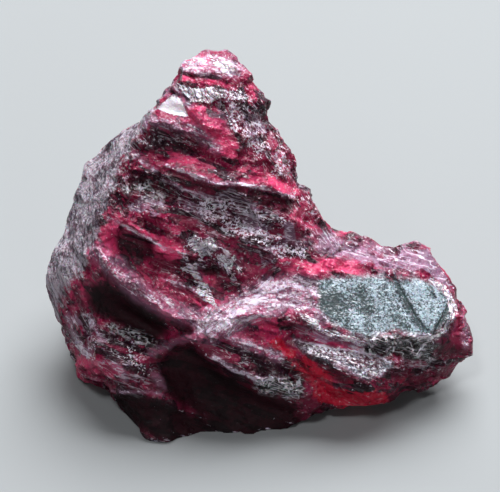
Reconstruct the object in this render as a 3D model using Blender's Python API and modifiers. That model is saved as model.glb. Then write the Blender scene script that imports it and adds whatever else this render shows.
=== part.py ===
"""A piece of rough garnet: one solid, broken and etched crystal that stands on a flat break.

The stone is described by its relief, the way a map describes a hill. Each line below is a crest, a
lip or a valley, and each of its points is (across, up, out) in millimetres on the showing side: a
plane that leans back from the viewer by SHOWING_TILT. Across is the row's +X, up runs up the
leaning plane, and out stands off it. The outline goes once round the stone and joins the showing
side to the hidden side. A constrained Delaunay mesh between the lines gives the cage, and
Subdivision Surface with creased crests gives the body, which then gets its parting steps and lumps.
"""

import itertools
import math
import random
from dataclasses import dataclass

import bmesh
import bpy
from mathutils import Vector, noise
from mathutils.geometry import delaunay_2d_cdt
from mathutils.kdtree import KDTree

MM = 0.001
SHOWING_TILT = math.radians(40.0)  # the showing side faces this far above the horizon
FLOOR = -10.0  # height of the resting break in the relief's own frame, mm
ACROSS_CENTRE = -0.08  # middle of the stone's width and depth in the relief's own frame, mm
DEPTH_CENTRE = 0.55

# The outline, once round from the top of the peak, down the right and back up the left.
OUTLINE = (
    # rounded head of the peak
    (-5.5, 13.9, -0.5),
    (-4.5, 14.8, -1.0),
    (-2.6, 14.8, -1.2),
    (-1.4, 13.8, -1.0),
    (-0.5, 12.4, -0.6),
    # long straight slope down to the saddle
    (0.4, 10.9, -0.8),
    (1.1, 9.0, -1.0),
    (2.0, 7.0, -1.4),
    (2.9, 4.9, -1.6),
    (3.9, 2.9, -2.0),
    (5.0, 1.6, -2.2),
    (5.9, 0.8, -2.4),
    # knobbly back rim of the right arm
    (6.6, 1.05, -2.6),
    (7.7, 0.2, -2.8),
    (8.8, 0.0, -2.6),
    (9.8, -0.5, -2.6),
    (11.0, 0.2, -2.4),
    (12.6, 0.3, -2.2),
    # end of the arm
    (13.9, -1.1, -2.0),
    (14.6, -3.7, -1.8),
    (15.5, -5.6, -1.7),
    (15.9, -6.5, -1.5),
    (15.6, -7.1, -1.2),
    (16.1, -8.2, -1.4),
    (14.8, -9.1, -1.6),
    (14.4, -9.8, -1.8),
    # underside of the arm
    (12.6, -10.3, -1.6),
    (10.0, -11.1, -0.6),
    (8.4, -11.6, 0.4),
    (6.6, -11.8, 0.5),
    (4.6, -11.9, 0.2),
    # foot of the hollow and the front foot
    (2.9, -13.3, 0.3),
    (1.0, -14.2, 0.9),
    (-1.5, -14.1, 1.2),
    (-4.0, -14.4, 1.2),
    (-6.0, -14.4, 1.6),
    (-7.8, -14.6, 1.8),
    (-8.8, -14.0, 1.1),
    (-9.8, -13.0, -0.1),
    (-10.6, -12.0, -1.3),
    (-11.4, -11.1, -2.4),
    (-12.3, -10.3, -3.3),
    # left flank
    (-13.3, -10.0, -3.2),
    (-13.8, -9.0, -2.8),
    (-14.6, -7.1, -2.4),
    (-15.3, -5.0, -2.2),
    (-16.0, -3.2, -2.0),
    (-16.1, -1.9, -2.1),
    (-16.0, -0.7, -2.4),
    (-15.3, 0.2, -2.8),
    (-14.6, 1.7, -3.2),
    (-14.1, 3.1, -3.6),
    (-13.5, 4.7, -3.8),
    (-12.5, 6.3, -3.8),
    (-11.4, 7.8, -3.6),
    (-10.0, 8.9, -3.2),
    (-8.5, 9.7, -2.6),
    (-7.5, 10.6, -2.0),
    (-6.7, 11.8, -1.4),
    (-6.0, 13.0, -0.9),
)

# Sharp lines of the showing side: crests, lips and the edges of flat breaks.
SHOWING_CRESTS = {
    "edge_of_the_left_skin": (
        (-5.5, 13.1, 0.3),
        (-6.2, 12.1, 0.6),
        (-7.0, 10.9, 0.8),
        (-7.9, 9.9, 1.0),
        (-8.5, 9.0, 1.2),
        (-9.2, 7.6, 1.6),
        (-9.9, 6.2, 1.9),
        (-10.6, 4.6, 2.2),
        (-11.2, 3.0, 2.6),
        (-11.8, 1.2, 3.0),
        (-12.3, -0.3, 3.3),
    ),
    "left_ridge": (
        (-12.3, -0.3, 3.3),
        (-11.0, -1.4, 3.6),
        (-9.6, -2.7, 3.9),
        (-8.2, -3.9, 4.1),
        (-6.6, -4.8, 4.3),
        (-5.0, -5.4, 4.4),
        (-3.6, -5.7, 4.4),
    ),
    "under_the_left_ridge": (
        (-12.9, -2.6, 2.4),
        (-11.3, -2.8, 2.9),
        (-9.7, -3.9, 3.2),
        (-8.1, -5.1, 3.4),
        (-6.7, -5.9, 3.7),
        (-5.4, -6.2, 4.0),
    ),
    "middle_ridge": (
        (-8.2, -8.0, 3.2),
        (-6.6, -7.3, 3.6),
        (-5.1, -6.8, 4.0),
        (-3.6, -5.7, 4.4),
        (-2.2, -5.4, 4.2),
        (-0.9, -4.9, 4.0),
        (0.6, -5.0, 3.5),
        (2.6, -5.3, 3.3),
        (4.5, -6.2, 3.2),
        (6.5, -6.8, 3.1),
        (8.4, -7.0, 3.0),
        (10.2, -6.7, 2.7),
        (12.4, -6.9, 2.4),
        (13.6, -6.2, 1.9),
        (14.6, -4.8, 0.8),
    ),
    "back_edge_of_the_natural_face": (
        (0.4, -2.8, 2.1),
        (2.2, -2.4, 1.7),
        (4.4, -2.3, 1.3),
        (7.0, -2.0, 0.9),
        (9.6, -2.1, 0.7),
        (12.4, -2.4, 0.5),
        (13.9, -3.5, 0.3),
        (14.6, -4.8, 0.8),
    ),
    "lower_ledge_lip": (
        (1.7, -6.6, 3.0),
        (2.6, -7.4, 3.4),
        (4.4, -8.2, 3.5),
        (6.0, -9.1, 3.5),
        (7.9, -10.2, 3.4),
        (9.5, -9.3, 2.9),
        (9.8, -8.5, 2.6),
    ),
    "front_ridge": (
        (-3.6, -5.7, 4.4),
        (-2.4, -6.5, 4.2),
        (-0.9, -7.2, 3.9),
        (0.7, -7.9, 3.6),
        (1.9, -8.3, 3.2),
    ),
    "brow_of_the_hollow": (
        (-5.1, -6.8, 4.0),
        (-4.1, -7.6, 4.1),
        (-2.8, -8.6, 4.0),
        (-1.2, -9.4, 3.8),
        (0.3, -9.9, 3.6),
        (1.6, -10.1, 3.2),
        (2.9, -10.6, 2.8),
        (4.2, -11.3, 2.1),
    ),
    "rim_of_the_head": (
        (-5.5, 13.1, 0.3),
        (-3.9, 12.9, 0.9),
        (-2.6, 12.9, 0.9),
        (-1.4, 12.6, 0.4),
    ),
    "second_rim_of_the_head": (
        (-6.2, 12.1, 0.6),
        (-4.9, 11.6, 1.3),
        (-3.3, 11.4, 1.6),
        (-1.8, 11.5, 1.2),
    ),
    "arris_of_the_peak": (
        (-3.3, 11.4, 1.6),
        (-2.5, 9.7, 2.0),
        (-2.5, 8.1, 2.3),
        (-1.9, 6.6, 2.4),
    ),
    "upper_lip": (
        (-8.5, 9.0, 1.2),
        (-7.2, 9.1, 1.9),
        (-6.0, 8.9, 2.2),
        (-4.8, 8.5, 2.5),
        (-3.9, 7.8, 2.6),
        (-3.2, 7.1, 2.5),
        (-1.9, 6.6, 2.4),
    ),
    "crimson_lip": (
        (-6.9, 5.9, 2.5),
        (-5.4, 5.4, 2.9),
        (-4.0, 4.7, 3.2),
        (-2.6, 4.5, 3.2),
        (-1.2, 4.5, 2.9),
        (0.4, 4.2, 2.5),
        (1.8, 3.8, 1.9),
        (2.9, 3.3, 1.1),
    ),
    "pocket_lip": (
        (-11.2, 2.0, 2.7),
        (-10.2, 1.6, 2.7),
        (-9.2, 1.3, 2.8),
        (-8.2, 0.6, 3.0),
        (-7.2, 0.1, 3.1),
        (-6.1, -0.1, 3.1),
        (-5.0, -0.6, 3.0),
    ),
    "chipped_lip": (
        (-7.4, -2.4, 2.6),
        (-6.0, -2.8, 2.9),
        (-4.8, -3.4, 3.0),
        (-3.8, -4.1, 3.1),
    ),
}

# Rounded lines and points of the showing side: hollows, valleys and swells.
SHOWING_SWELLS = {
    "below_the_upper_lip": ((-8.4, 7.8, 1.2), (-7.0, 7.7, 1.0), (-5.5, 7.6, 1.1), (-4.2, 6.9, 1.5)),
    "crimson_band": (
        (-6.9, 6.8, 1.8),
        (-5.2, 6.5, 1.9),
        (-3.4, 6.0, 2.1),
        (-1.4, 5.7, 2.2),
        (0.6, 5.8, 1.4),
        (2.0, 5.4, 0.4),
    ),
    "below_the_crimson_lip": (
        (-7.4, 5.2, 1.9),
        (-5.6, 4.7, 2.0),
        (-4.1, 4.1, 2.1),
        (-2.4, 3.8, 2.1),
        (-0.8, 3.8, 1.9),
        (0.8, 3.5, 1.6),
        (2.3, 3.0, 1.1),
    ),
    "middle_of_the_face": (
        (-9.6, 4.6, 1.9),
        (-8.0, 3.2, 2.1),
        (-5.6, 2.6, 2.4),
        (-3.0, 1.9, 2.7),
        (-0.2, 1.5, 2.5),
        (2.4, 1.6, 1.5),
        (4.0, 1.3, 0.3),
    ),
    "pocket": ((-10.8, 0.5, 2.2), (-9.6, 0.0, 1.7), (-8.5, -0.6, 1.8), (-7.2, -1.2, 2.3)),
    "crimson_basin": (
        (-10.6, -0.9, 2.6),
        (-8.8, -2.2, 2.4),
        (-7.2, -3.4, 2.6),
        (-5.5, -4.2, 3.0),
        (-3.9, -4.7, 3.1),
    ),
    "small_cave": ((-5.2, -1.8, 2.3), (-4.0, -2.3, 1.7), (-2.8, -2.6, 1.9), (-1.6, -3.4, 2.2)),
    "swell_of_the_face": ((-3.8, -0.6, 2.9), (-1.8, -0.6, 2.7), (0.4, -0.8, 2.2)),
    "basin_by_the_ridge": ((-1.9, -4.4, 3.0), (-0.7, -3.3, 2.5)),
    "saddle": ((2.4, -0.6, 1.1), (4.2, -0.8, 0.5), (6.4, -0.8, 0.0), (8.6, -0.9, -0.3)),
    "back_of_the_arm": ((10.6, -1.1, -0.2), (12.4, -1.2, -0.6)),
    "natural_face": ((2.6, -3.9, 2.5), (5.6, -4.5, 2.0), (9.0, -4.4, 1.8), (12.2, -4.6, 1.5)),
    "valley_below_the_natural_face": (
        (-0.6, -5.8, 3.3),
        (1.2, -6.1, 2.7),
        (3.4, -6.9, 2.5),
        (6.2, -7.6, 2.4),
        (8.4, -7.9, 2.2),
        (10.6, -7.7, 1.8),
        (12.6, -7.8, 1.4),
    ),
    "face_under_the_arm": (
        (1.4, -9.2, 2.7),
        (3.2, -9.4, 2.5),
        (5.0, -10.4, 2.3),
        (6.8, -11.2, 1.9),
        (9.2, -10.5, 1.9),
        (11.4, -9.4, 1.4),
        (13.2, -8.6, 0.7),
        (14.6, -7.2, 0.2),
    ),
    "left_hollow": (
        (-12.2, -4.2, 1.9),
        (-10.8, -4.6, 1.3),
        (-9.4, -5.2, 1.0),
        (-8.0, -6.1, 1.4),
        (-6.9, -6.7, 2.3),
    ),
    "big_hollow": (
        (-5.8, -8.4, 1.5),
        (-3.6, -9.5, 1.0),
        (-1.2, -10.9, 0.9),
        (1.6, -12.2, 0.9),
    ),
    "floor_of_the_big_hollow": ((-5.0, -11.0, 0.3), (-2.8, -12.3, 0.5), (-0.2, -13.0, 0.8)),
    "left_skin": (
        (-13.0, 3.6, -0.6),
        (-13.4, 1.4, 0.0),
        (-14.0, -0.4, 0.4),
        (-14.6, -2.0, 0.6),
        (-14.4, -4.2, 0.2),
    ),
    "upper_left_skin": ((-11.6, 6.0, -0.8), (-10.0, 7.9, -0.6), (-8.6, 9.3, -0.2)),
    "crust_top": ((-13.2, -6.0, 1.5), (-11.4, -6.1, 2.5), (-9.4, -6.7, 2.7), (-8.2, -7.2, 2.8)),
    "crust_middle": ((-13.2, -7.6, 1.8), (-11.6, -7.9, 3.0), (-9.8, -8.5, 3.2), (-8.0, -9.0, 3.0)),
    "crust_bottom": ((-12.6, -9.2, 1.0), (-10.8, -9.8, 2.3), (-9.2, -10.5, 2.7), (-7.3, -10.9, 2.7)),
    "top_of_the_foot": ((-10.2, -11.6, 0.9), (-8.8, -11.6, 1.9), (-6.8, -11.8, 2.0), (-5.9, -12.6, 1.4)),
    "front_of_the_foot": ((-8.6, -13.2, 1.9), (-7.0, -13.4, 2.2)),
    "right_of_the_peak": ((-0.6, 10.6, 0.8), (-0.6, 8.6, 1.1), (0.4, 7.0, 0.8)),
}

# Sharp lines of the hidden side, which stands on the floor.
HIDDEN_CRESTS = {
    "spine_down_the_back": (
        (-3.6, 12.6, -4.2),
        (-4.4, 9.6, -7.0),
        (-4.0, 6.0, -9.8),
        (-4.8, 2.6, -12.6),
        (-3.8, -0.6, -14.4),
    ),
    "left_back_edge": (
        (-4.4, 9.6, -7.0),
        (-7.6, 7.4, -7.0),
        (-10.4, 4.6, -7.4),
        (-12.2, 1.0, -7.6),
        (-12.8, -2.4, -7.6),
        (-12.2, -5.6, -7.4),
    ),
    "right_back_edge": (
        (-4.0, 6.0, -9.8),
        (-0.6, 4.6, -8.6),
        (2.0, 1.8, -8.4),
        (4.6, -1.0, -8.2),
        (7.8, -2.6, -6.8),
        (11.0, -3.6, -5.6),
        (13.6, -5.2, -4.0),
    ),
}

# Rounded lines of the hidden side. The last ones reach below the floor, which cuts them flat.
HIDDEN_SWELLS = {
    "back_of_the_peak": ((-2.0, 10.4, -3.4), (-0.8, 7.4, -4.6), (1.2, 4.4, -4.8)),
    "left_of_the_peak": ((-6.4, 10.6, -3.8), (-8.6, 8.6, -4.8)),
    "left_back_face": ((-8.4, 3.8, -9.4), (-9.4, 0.0, -11.0), (-9.2, -3.4, -11.4)),
    "right_back_face": ((-0.6, 0.6, -12.2), (2.2, -2.0, -11.4), (4.4, -4.6, -9.8)),
    "under_the_arm": ((7.0, -6.0, -5.8), (10.0, -7.0, -4.4), (12.4, -8.0, -3.4)),
    "below_the_arm": ((6.4, -9.4, -2.5), (9.2, -9.8, -1.9)),
    "left_foot": ((-11.6, -8.4, -5.9),),
    "below_the_floor": (
        (-9.6, -6.4, -8.8),
        (-5.6, -3.0, -13.2),
        (-1.4, -3.4, -12.8),
        (2.4, -6.2, -9.4),
        (3.4, -9.8, -5.0),
        (-0.4, -12.4, -1.8),
        (-5.4, -13.0, -1.2),
        (-8.6, -11.0, -3.4),
    ),
    "middle_below_the_floor": ((-5.6, -8.2, -7.0), (-1.2, -8.2, -7.0)),
}
CREST_CREASE = 0.85
OUTLINE_CREASE = 0.5
SWELL_CREASE = 0.0
SUBDIVISIONS = 4

# The broken surface. Lengths in mm.
SWELLING = 0.06  # the rounding of the cage draws it in, and this gives it back
STEP_LEAN = Vector((0.30, 0.90, 0.32)).normalized()  # across, up and out of the parting's normal
STEP_WAVINESS = 1.3  # how far a step wanders from its plane
STEP_UNDERCUT = 0.2  # share of a step's pitch taken by its steep riser


@dataclass(frozen=True)
class Steps:
    """A family of parting steps."""

    pitch: float  # from lip to lip
    rise: float  # half the height of a riser
    patch: float  # size of the patches where the steps show
    seed: int


@dataclass(frozen=True)
class Chips:
    """Small flat breaks that cover the stone, each tilted a little from the surface it breaks."""

    spacing: float  # least distance between the middles of two breaks
    stretch: float  # how many times longer a break is along the steps than across them
    tilt: float  # largest tilt, as a slope
    offset: float  # largest step up or down to its neighbours
    cut: float  # furthest that a break cuts in
    stand: float  # furthest that it stands out
    showing: float  # strength on the showing side
    hidden: float  # strength on the hidden side
    seed: int


@dataclass(frozen=True)
class Lumps:
    """Rounded swells and dips."""

    size: float
    height: float
    seed: int


@dataclass(frozen=True)
class SmoothPlace:
    """An oval place on the showing side where the stone is smoother than its breaks."""

    middle: tuple  # across and up
    reach: tuple  # half its length and half its width
    turn: float  # degrees from across, turning up
    breaks: float  # strength of the breaks inside it


STEPS = (
    Steps(pitch=3.1, rise=0.22, patch=6.0, seed=3),
    Steps(pitch=1.4, rise=0.15, patch=3.4, seed=11),
)
LARGE_CHIPS = Chips(
    spacing=5.4,
    stretch=1.1,
    tilt=0.16,
    offset=0.25,
    cut=1.0,
    stand=0.3,
    showing=0.0,
    hidden=1.0,
    seed=4,
)
MIDDLE_CHIPS = Chips(
    spacing=2.5,
    stretch=2.1,
    tilt=0.14,
    offset=0.1,
    cut=0.24,
    stand=0.2,
    showing=1.0,
    hidden=0.9,
    seed=5,
)
SMALL_CHIPS = Chips(
    spacing=1.2,
    stretch=1.8,
    tilt=0.22,
    offset=0.06,
    cut=0.15,
    stand=0.12,
    showing=1.0,
    hidden=0.7,
    seed=8,
)
LUMPS = (
    Lumps(size=4.4, height=0.2, seed=21),
    Lumps(size=1.9, height=0.1, seed=34),
)

SMOOTH_PLACES = {
    "natural face": SmoothPlace(middle=(9.2, -4.5), reach=(5.6, 2.5), turn=0.0, breaks=0.1),
    "left hollow": SmoothPlace(middle=(-9.8, -4.7), reach=(3.6, 1.6), turn=-30.0, breaks=0.3),
    "big hollow": SmoothPlace(middle=(-3.2, -11.0), reach=(3.9, 2.6), turn=-20.0, breaks=0.3),
    "foot": SmoothPlace(middle=(-7.9, -12.6), reach=(2.4, 1.4), turn=-20.0, breaks=0.45),
    "crimson band": SmoothPlace(middle=(-2.4, 5.5), reach=(4.4, 0.9), turn=-12.0, breaks=0.45),
}
SMOOTH_PLACES_BACK = -1.5  # they stand further out than this
SKIN_BREAKS = 0.45
HIDDEN_BACK = (-4.0, -1.5)  # the hidden side's breaks fade into the showing side's between these

VOXEL = 0.28
KEPT_TRIANGLES = 9800  # before the resting break takes some away
CUTTER_SIZE = 60.0

# The material.
GARNET_RED = (0.16, 0.008, 0.028, 1.0)
GARNET_ROUGHNESS = 0.3
GARNET_IOR = 1.76


def place(across, up, out):
    """A point of the relief in the stone's frame, in metres, with the resting break at z = 0."""
    lean, rise = math.sin(SHOWING_TILT), math.cos(SHOWING_TILT)
    depth = up * lean - out * rise
    height = up * rise + out * lean
    return Vector((across - ACROSS_CENTRE, depth - DEPTH_CENTRE, height - FLOOR)) * MM


def remove_everything():
    """Clears the scene of objects."""
    for thing in list(bpy.data.objects):
        bpy.data.objects.remove(thing)


def side_of_the_cage(skin, rim, crests, swells, faces_out):
    """Meshes one side between the outline and its lines, and creases the crests."""
    points = list(OUTLINE)
    corners = list(rim)
    edges = [(n, (n + 1) % len(OUTLINE), OUTLINE_CREASE) for n in range(len(OUTLINE))]
    index = {point: n for n, point in enumerate(points)}
    for lines, crease in ((crests, CREST_CREASE), (swells, SWELL_CREASE)):
        for line in lines.values():
            for point in line:
                if point not in index:
                    index[point] = len(points)
                    points.append(point)
                    corners.append(skin.verts.new(place(*point)))
            edges += [(index[a], index[b], crease) for a, b in zip(line, line[1:])]
    flat = [Vector(point[:2]) for point in points]
    ends = [edge[:2] for edge in edges]
    made, _, triangles, _, _, _ = delaunay_2d_cdt(flat, ends, [], 1, 1e-5)
    if len(made) != len(points):
        raise ValueError(f"two relief lines cross: {len(points)} points became {len(made)}")
    for triangle in triangles:
        loop = triangle if faces_out else triangle[::-1]
        skin.faces.new([corners[n] for n in loop])
    layer = skin.edges.layers.float.get("crease_edge") or skin.edges.layers.float.new("crease_edge")
    for start, end, crease in edges:
        edge = skin.edges.get((corners[start], corners[end]))
        if edge:
            edge[layer] = max(edge[layer], crease)


def make_cage():
    """The coarse cage of the garnet as one closed mesh object."""
    skin = bmesh.new()
    rim = [skin.verts.new(place(*point)) for point in OUTLINE]
    side_of_the_cage(skin, rim, SHOWING_CRESTS, SHOWING_SWELLS, True)
    side_of_the_cage(skin, rim, HIDDEN_CRESTS, HIDDEN_SWELLS, False)
    mesh = bpy.data.meshes.new("cage")
    skin.to_mesh(mesh)
    skin.free()
    cage = bpy.data.objects.new("rough_garnet", mesh)
    bpy.context.scene.collection.objects.link(cage)
    return cage


def round_off(stone):
    """Swaps the coarse cage for its rounded body, a mesh fine enough to carry the steps."""
    rounding = stone.modifiers.new("rounding", "SUBSURF")
    rounding.levels = rounding.render_levels = SUBDIVISIONS
    stone.data = applied(stone)
    stone.modifiers.clear()


def ramp(value, low, high):
    """Smooth ramp from 0 at low to 1 at high."""
    share = min(max((value - low) / (high - low), 0.0), 1.0)
    return share * share * (3.0 - 2.0 * share)


def in_relief(spot):
    """A point of the stone in metres, as across, up and out in mm."""
    lean, rise = math.sin(SHOWING_TILT), math.cos(SHOWING_TILT)
    depth = spot.y / MM + DEPTH_CENTRE
    height = spot.z / MM + FLOOR
    up = depth * lean + height * rise
    return Vector((spot.x / MM + ACROSS_CENTRE, up, height * lean - depth * rise))


def skin_edge(up):
    """How far across the left skin reaches at a height up the showing side."""
    edge = SHOWING_CRESTS["edge_of_the_left_skin"]
    for upper, lower in zip(edge, edge[1:]):
        if lower[1] <= up <= upper[1]:
            share = (up - lower[1]) / (upper[1] - lower[1])
            return lower[0] + share * (upper[0] - lower[0])
    return edge[0][0] if up > edge[0][1] else edge[-1][0]


def inside_place(point, place):
    """1 in the middle of a smooth place, falling to 0 just past its rim."""
    turn = math.radians(place.turn)
    right, rise = point.x - place.middle[0], point.y - place.middle[1]
    along = (right * math.cos(turn) + rise * math.sin(turn)) / place.reach[0]
    across = (rise * math.cos(turn) - right * math.sin(turn)) / place.reach[1]
    return 1.0 - ramp(math.hypot(along, across), 0.8, 1.1)


def brokenness(point, showing=1.0, hidden=0.7):
    """Strength of the breaks at a point of the relief, from their strengths on the two sides."""
    skin = 1.0 - ramp(point.x - skin_edge(point.y), -0.8, 0.2)
    front = showing + showing * (SKIN_BREAKS - 1.0) * skin
    shown = ramp(point.z, SMOOTH_PLACES_BACK, 0.0)
    for place in SMOOTH_PLACES.values():
        front += front * (place.breaks - 1.0) * inside_place(point, place) * shown
    return hidden + (front - hidden) * ramp(point.z, *HIDDEN_BACK)


def step_profile(phase):
    """Height of one parting step, from -1 to 1: a slow fall from the lip, then a steep riser."""
    if phase < 1.0 - STEP_UNDERCUT:
        return 1.0 - 2.0 * phase / (1.0 - STEP_UNDERCUT)
    return 2.0 * ramp(phase, 1.0 - STEP_UNDERCUT, 1.0) - 1.0


def step_and_lump_height(point):
    """How far the steps and lumps stand off the rounded body at a point of the relief."""
    wander = noise.noise(point / 5.0 + Vector((5.0, 1.0, 9.0))) * STEP_WAVINESS
    along = point.dot(STEP_LEAN) + wander
    height = 0.0
    for steps in STEPS:
        shift = Vector((steps.seed, -steps.seed, steps.seed))
        patch = ramp(noise.noise(point / steps.patch + shift), -0.15, 0.3)
        height += steps.rise * patch * step_profile((along / steps.pitch) % 1.0)
    for lumps in LUMPS:
        shift = Vector((lumps.seed, lumps.seed, -lumps.seed))
        height += lumps.height * noise.noise(point / lumps.size + shift)
    return height


def raise_steps_and_lumps(mesh):
    """Raises the parting steps and lumps on the rounded body, along its normals."""
    normals = [vertex.normal.copy() for vertex in mesh.vertices]
    for vertex, normal in zip(mesh.vertices, normals):
        point = in_relief(vertex.co)
        height = step_and_lump_height(point) * brokenness(point) + SWELLING
        vertex.co += normal * height * MM


def stretched(point, stretch):
    """A point with the direction across the steps drawn out, so that near means on the same step."""
    return point + STEP_LEAN * (point.dot(STEP_LEAN) * (stretch - 1.0))


def chip_middles(points, chips, dice):
    """Picks points that are at least the chips' spacing apart."""
    order = list(range(len(points)))
    dice.shuffle(order)
    cells = {}
    middles = []
    for n in order:
        point = points[n]
        cell = tuple(int(value // chips.spacing) for value in point)
        near = itertools.product(*(range(value - 1, value + 2) for value in cell))
        rivals = (other for key in near for other in cells.get(key, ()))
        if all((point - other).length >= chips.spacing for other in rivals):
            cells.setdefault(cell, []).append(point)
            middles.append(n)
    return middles


def break_into_chips(mesh, chips):
    """Moves each vertex towards the flat break whose middle is nearest."""
    dice = random.Random(chips.seed)
    points = [in_relief(vertex.co) for vertex in mesh.vertices]
    near_points = [stretched(point, chips.stretch) for point in points]
    middles = chip_middles(near_points, chips, dice)
    tree = KDTree(len(middles))
    breaks = []
    for place_in_tree, n in enumerate(middles):
        tree.insert(near_points[n], place_in_tree)
        tilt = Vector([dice.uniform(-chips.tilt, chips.tilt) for _ in range(3)])
        facing = (mesh.vertices[n].normal + tilt).normalized()
        breaks.append((mesh.vertices[n].co.copy(), facing, dice.uniform(-chips.offset, chips.offset)))
    tree.balance()
    for vertex, point, near_point in zip(mesh.vertices, points, near_points):
        middle, facing, offset = breaks[tree.find(near_point)[1]]
        height = (middle - vertex.co).dot(facing) / MM + offset
        height = min(max(height, -chips.cut), chips.stand)
        height *= brokenness(point, chips.showing, chips.hidden)
        vertex.co += facing * height * MM
    mesh.update()


def break_surface(stone):
    """Gives the rounded body its broken surface."""
    raise_steps_and_lumps(stone.data)
    stone.data.update()
    for chips in (LARGE_CHIPS, MIDDLE_CHIPS, SMALL_CHIPS):
        break_into_chips(stone.data, chips)


def applied(stone):
    """The stone's mesh with its modifiers applied."""
    seen = stone.evaluated_get(bpy.context.evaluated_depsgraph_get())
    return bpy.data.meshes.new_from_object(seen)


def pieces_of(skin):
    """The vertices of each connected piece of a bmesh."""
    waiting = set(skin.verts)
    pieces = []
    while waiting:
        piece = {waiting.pop()}
        front = list(piece)
        while front:
            near = {edge.other_vert(vert) for vert in front for edge in vert.link_edges}
            front = [vert for vert in near if vert not in piece]
            piece.update(front)
        waiting -= piece
        pieces.append(piece)
    return pieces


def keep_largest_piece(mesh):
    """Removes what is not part of the stone's outer skin, such as a bubble left under a fold."""
    skin = bmesh.new()
    skin.from_mesh(mesh)
    pieces = sorted(pieces_of(skin), key=len)
    for piece in pieces[:-1]:
        bmesh.ops.delete(skin, geom=list(piece), context="VERTS")
    skin.to_mesh(mesh)
    skin.free()


def make_even(stone):
    """Rebuilds the surface in one skin with no folds, then keeps the triangles that shape it."""
    skin = stone.modifiers.new("one skin", "REMESH")
    skin.mode = "VOXEL"
    skin.voxel_size = VOXEL * MM
    stone.data = applied(stone)
    stone.modifiers.clear()
    keep_largest_piece(stone.data)
    thinning = stone.modifiers.new("facets", "DECIMATE")
    thinning.use_collapse_triangulate = True
    thinning.ratio = KEPT_TRIANGLES / (2.0 * len(stone.data.polygons))


def cut_resting_break(stone, cutters):
    """Cuts the stone off flat at z = 0, where it rests."""
    size = CUTTER_SIZE * MM
    bpy.ops.mesh.primitive_cube_add(size=size, location=(0.0, 0.0, -size / 2.0))
    cutter = bpy.context.object
    cutter.name = "resting_break_cutter"
    cutter.hide_render = True
    cutter.display_type = "WIRE"
    move_to(cutter, cutters)
    cut = stone.modifiers.new("resting break", "BOOLEAN")
    cut.operation = "DIFFERENCE"
    cut.solver = "EXACT"
    cut.object = cutter


def make_garnet_material():
    """Deep red garnet, glossy where it is freshly broken."""
    garnet = bpy.data.materials.new("garnet")
    garnet.use_nodes = True
    shader = garnet.node_tree.nodes["Principled BSDF"]
    shader.inputs["Base Color"].default_value = GARNET_RED
    shader.inputs["Roughness"].default_value = GARNET_ROUGHNESS
    shader.inputs["Metallic"].default_value = 0.0
    shader.inputs["IOR"].default_value = GARNET_IOR
    return garnet


def make_collection(name):
    """A new collection in the scene."""
    collection = bpy.data.collections.new(name)
    bpy.context.scene.collection.children.link(collection)
    return collection


def move_to(thing, collection):
    """Puts an object in one collection only."""
    for other in list(thing.users_collection):
        other.objects.unlink(thing)
    collection.objects.link(thing)


def main():
    """Builds the stone."""
    remove_everything()
    stone = make_cage()
    move_to(stone, make_collection("rough garnet"))
    round_off(stone)
    break_surface(stone)
    make_even(stone)
    cut_resting_break(stone, make_collection("cutters"))
    stone.data.materials.clear()
    stone.data.materials.append(make_garnet_material())


main()
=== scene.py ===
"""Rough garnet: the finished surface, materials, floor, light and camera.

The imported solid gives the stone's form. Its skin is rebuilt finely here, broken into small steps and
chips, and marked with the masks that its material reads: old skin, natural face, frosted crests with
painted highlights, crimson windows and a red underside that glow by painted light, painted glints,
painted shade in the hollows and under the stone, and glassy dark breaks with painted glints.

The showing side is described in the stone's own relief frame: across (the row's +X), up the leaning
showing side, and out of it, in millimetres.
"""

import itertools
import logging
import math
import random
from dataclasses import dataclass, field
from enum import Enum

import bmesh
import bpy
import numpy as np
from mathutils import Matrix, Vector, noise
from mathutils.kdtree import KDTree

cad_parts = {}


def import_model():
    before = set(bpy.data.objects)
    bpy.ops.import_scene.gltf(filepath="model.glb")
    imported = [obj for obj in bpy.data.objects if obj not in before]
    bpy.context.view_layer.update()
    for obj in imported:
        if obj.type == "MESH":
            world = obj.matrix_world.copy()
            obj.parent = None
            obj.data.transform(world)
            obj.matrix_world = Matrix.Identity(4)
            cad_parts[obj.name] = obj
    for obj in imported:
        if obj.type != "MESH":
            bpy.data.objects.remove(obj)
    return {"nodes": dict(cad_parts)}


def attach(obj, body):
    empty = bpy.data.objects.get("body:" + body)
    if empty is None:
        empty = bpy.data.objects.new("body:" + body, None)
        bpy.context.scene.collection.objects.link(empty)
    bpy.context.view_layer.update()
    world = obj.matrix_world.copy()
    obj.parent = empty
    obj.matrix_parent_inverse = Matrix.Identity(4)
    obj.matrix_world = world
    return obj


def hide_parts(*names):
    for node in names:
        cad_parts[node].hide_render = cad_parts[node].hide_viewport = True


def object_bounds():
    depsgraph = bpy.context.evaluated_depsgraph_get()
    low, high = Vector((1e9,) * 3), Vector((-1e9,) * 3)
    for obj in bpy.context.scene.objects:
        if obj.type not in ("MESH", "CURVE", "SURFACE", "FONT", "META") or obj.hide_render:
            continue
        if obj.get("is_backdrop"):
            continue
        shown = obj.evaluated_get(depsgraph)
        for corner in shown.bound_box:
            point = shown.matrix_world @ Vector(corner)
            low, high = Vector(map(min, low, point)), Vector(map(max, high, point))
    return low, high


LOG = logging.getLogger("rough_garnet")
MM = 0.001
NODE = "rough_garnet"
BODY = "root"
GRAIN_RUN = "grain_run"
Point = tuple[float, ...]
Line = tuple[Point, ...]
Box = tuple[Point, Point]
Socket = bpy.types.NodeSocket


# --------------------------------------------------------------------------- the relief frame


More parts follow.
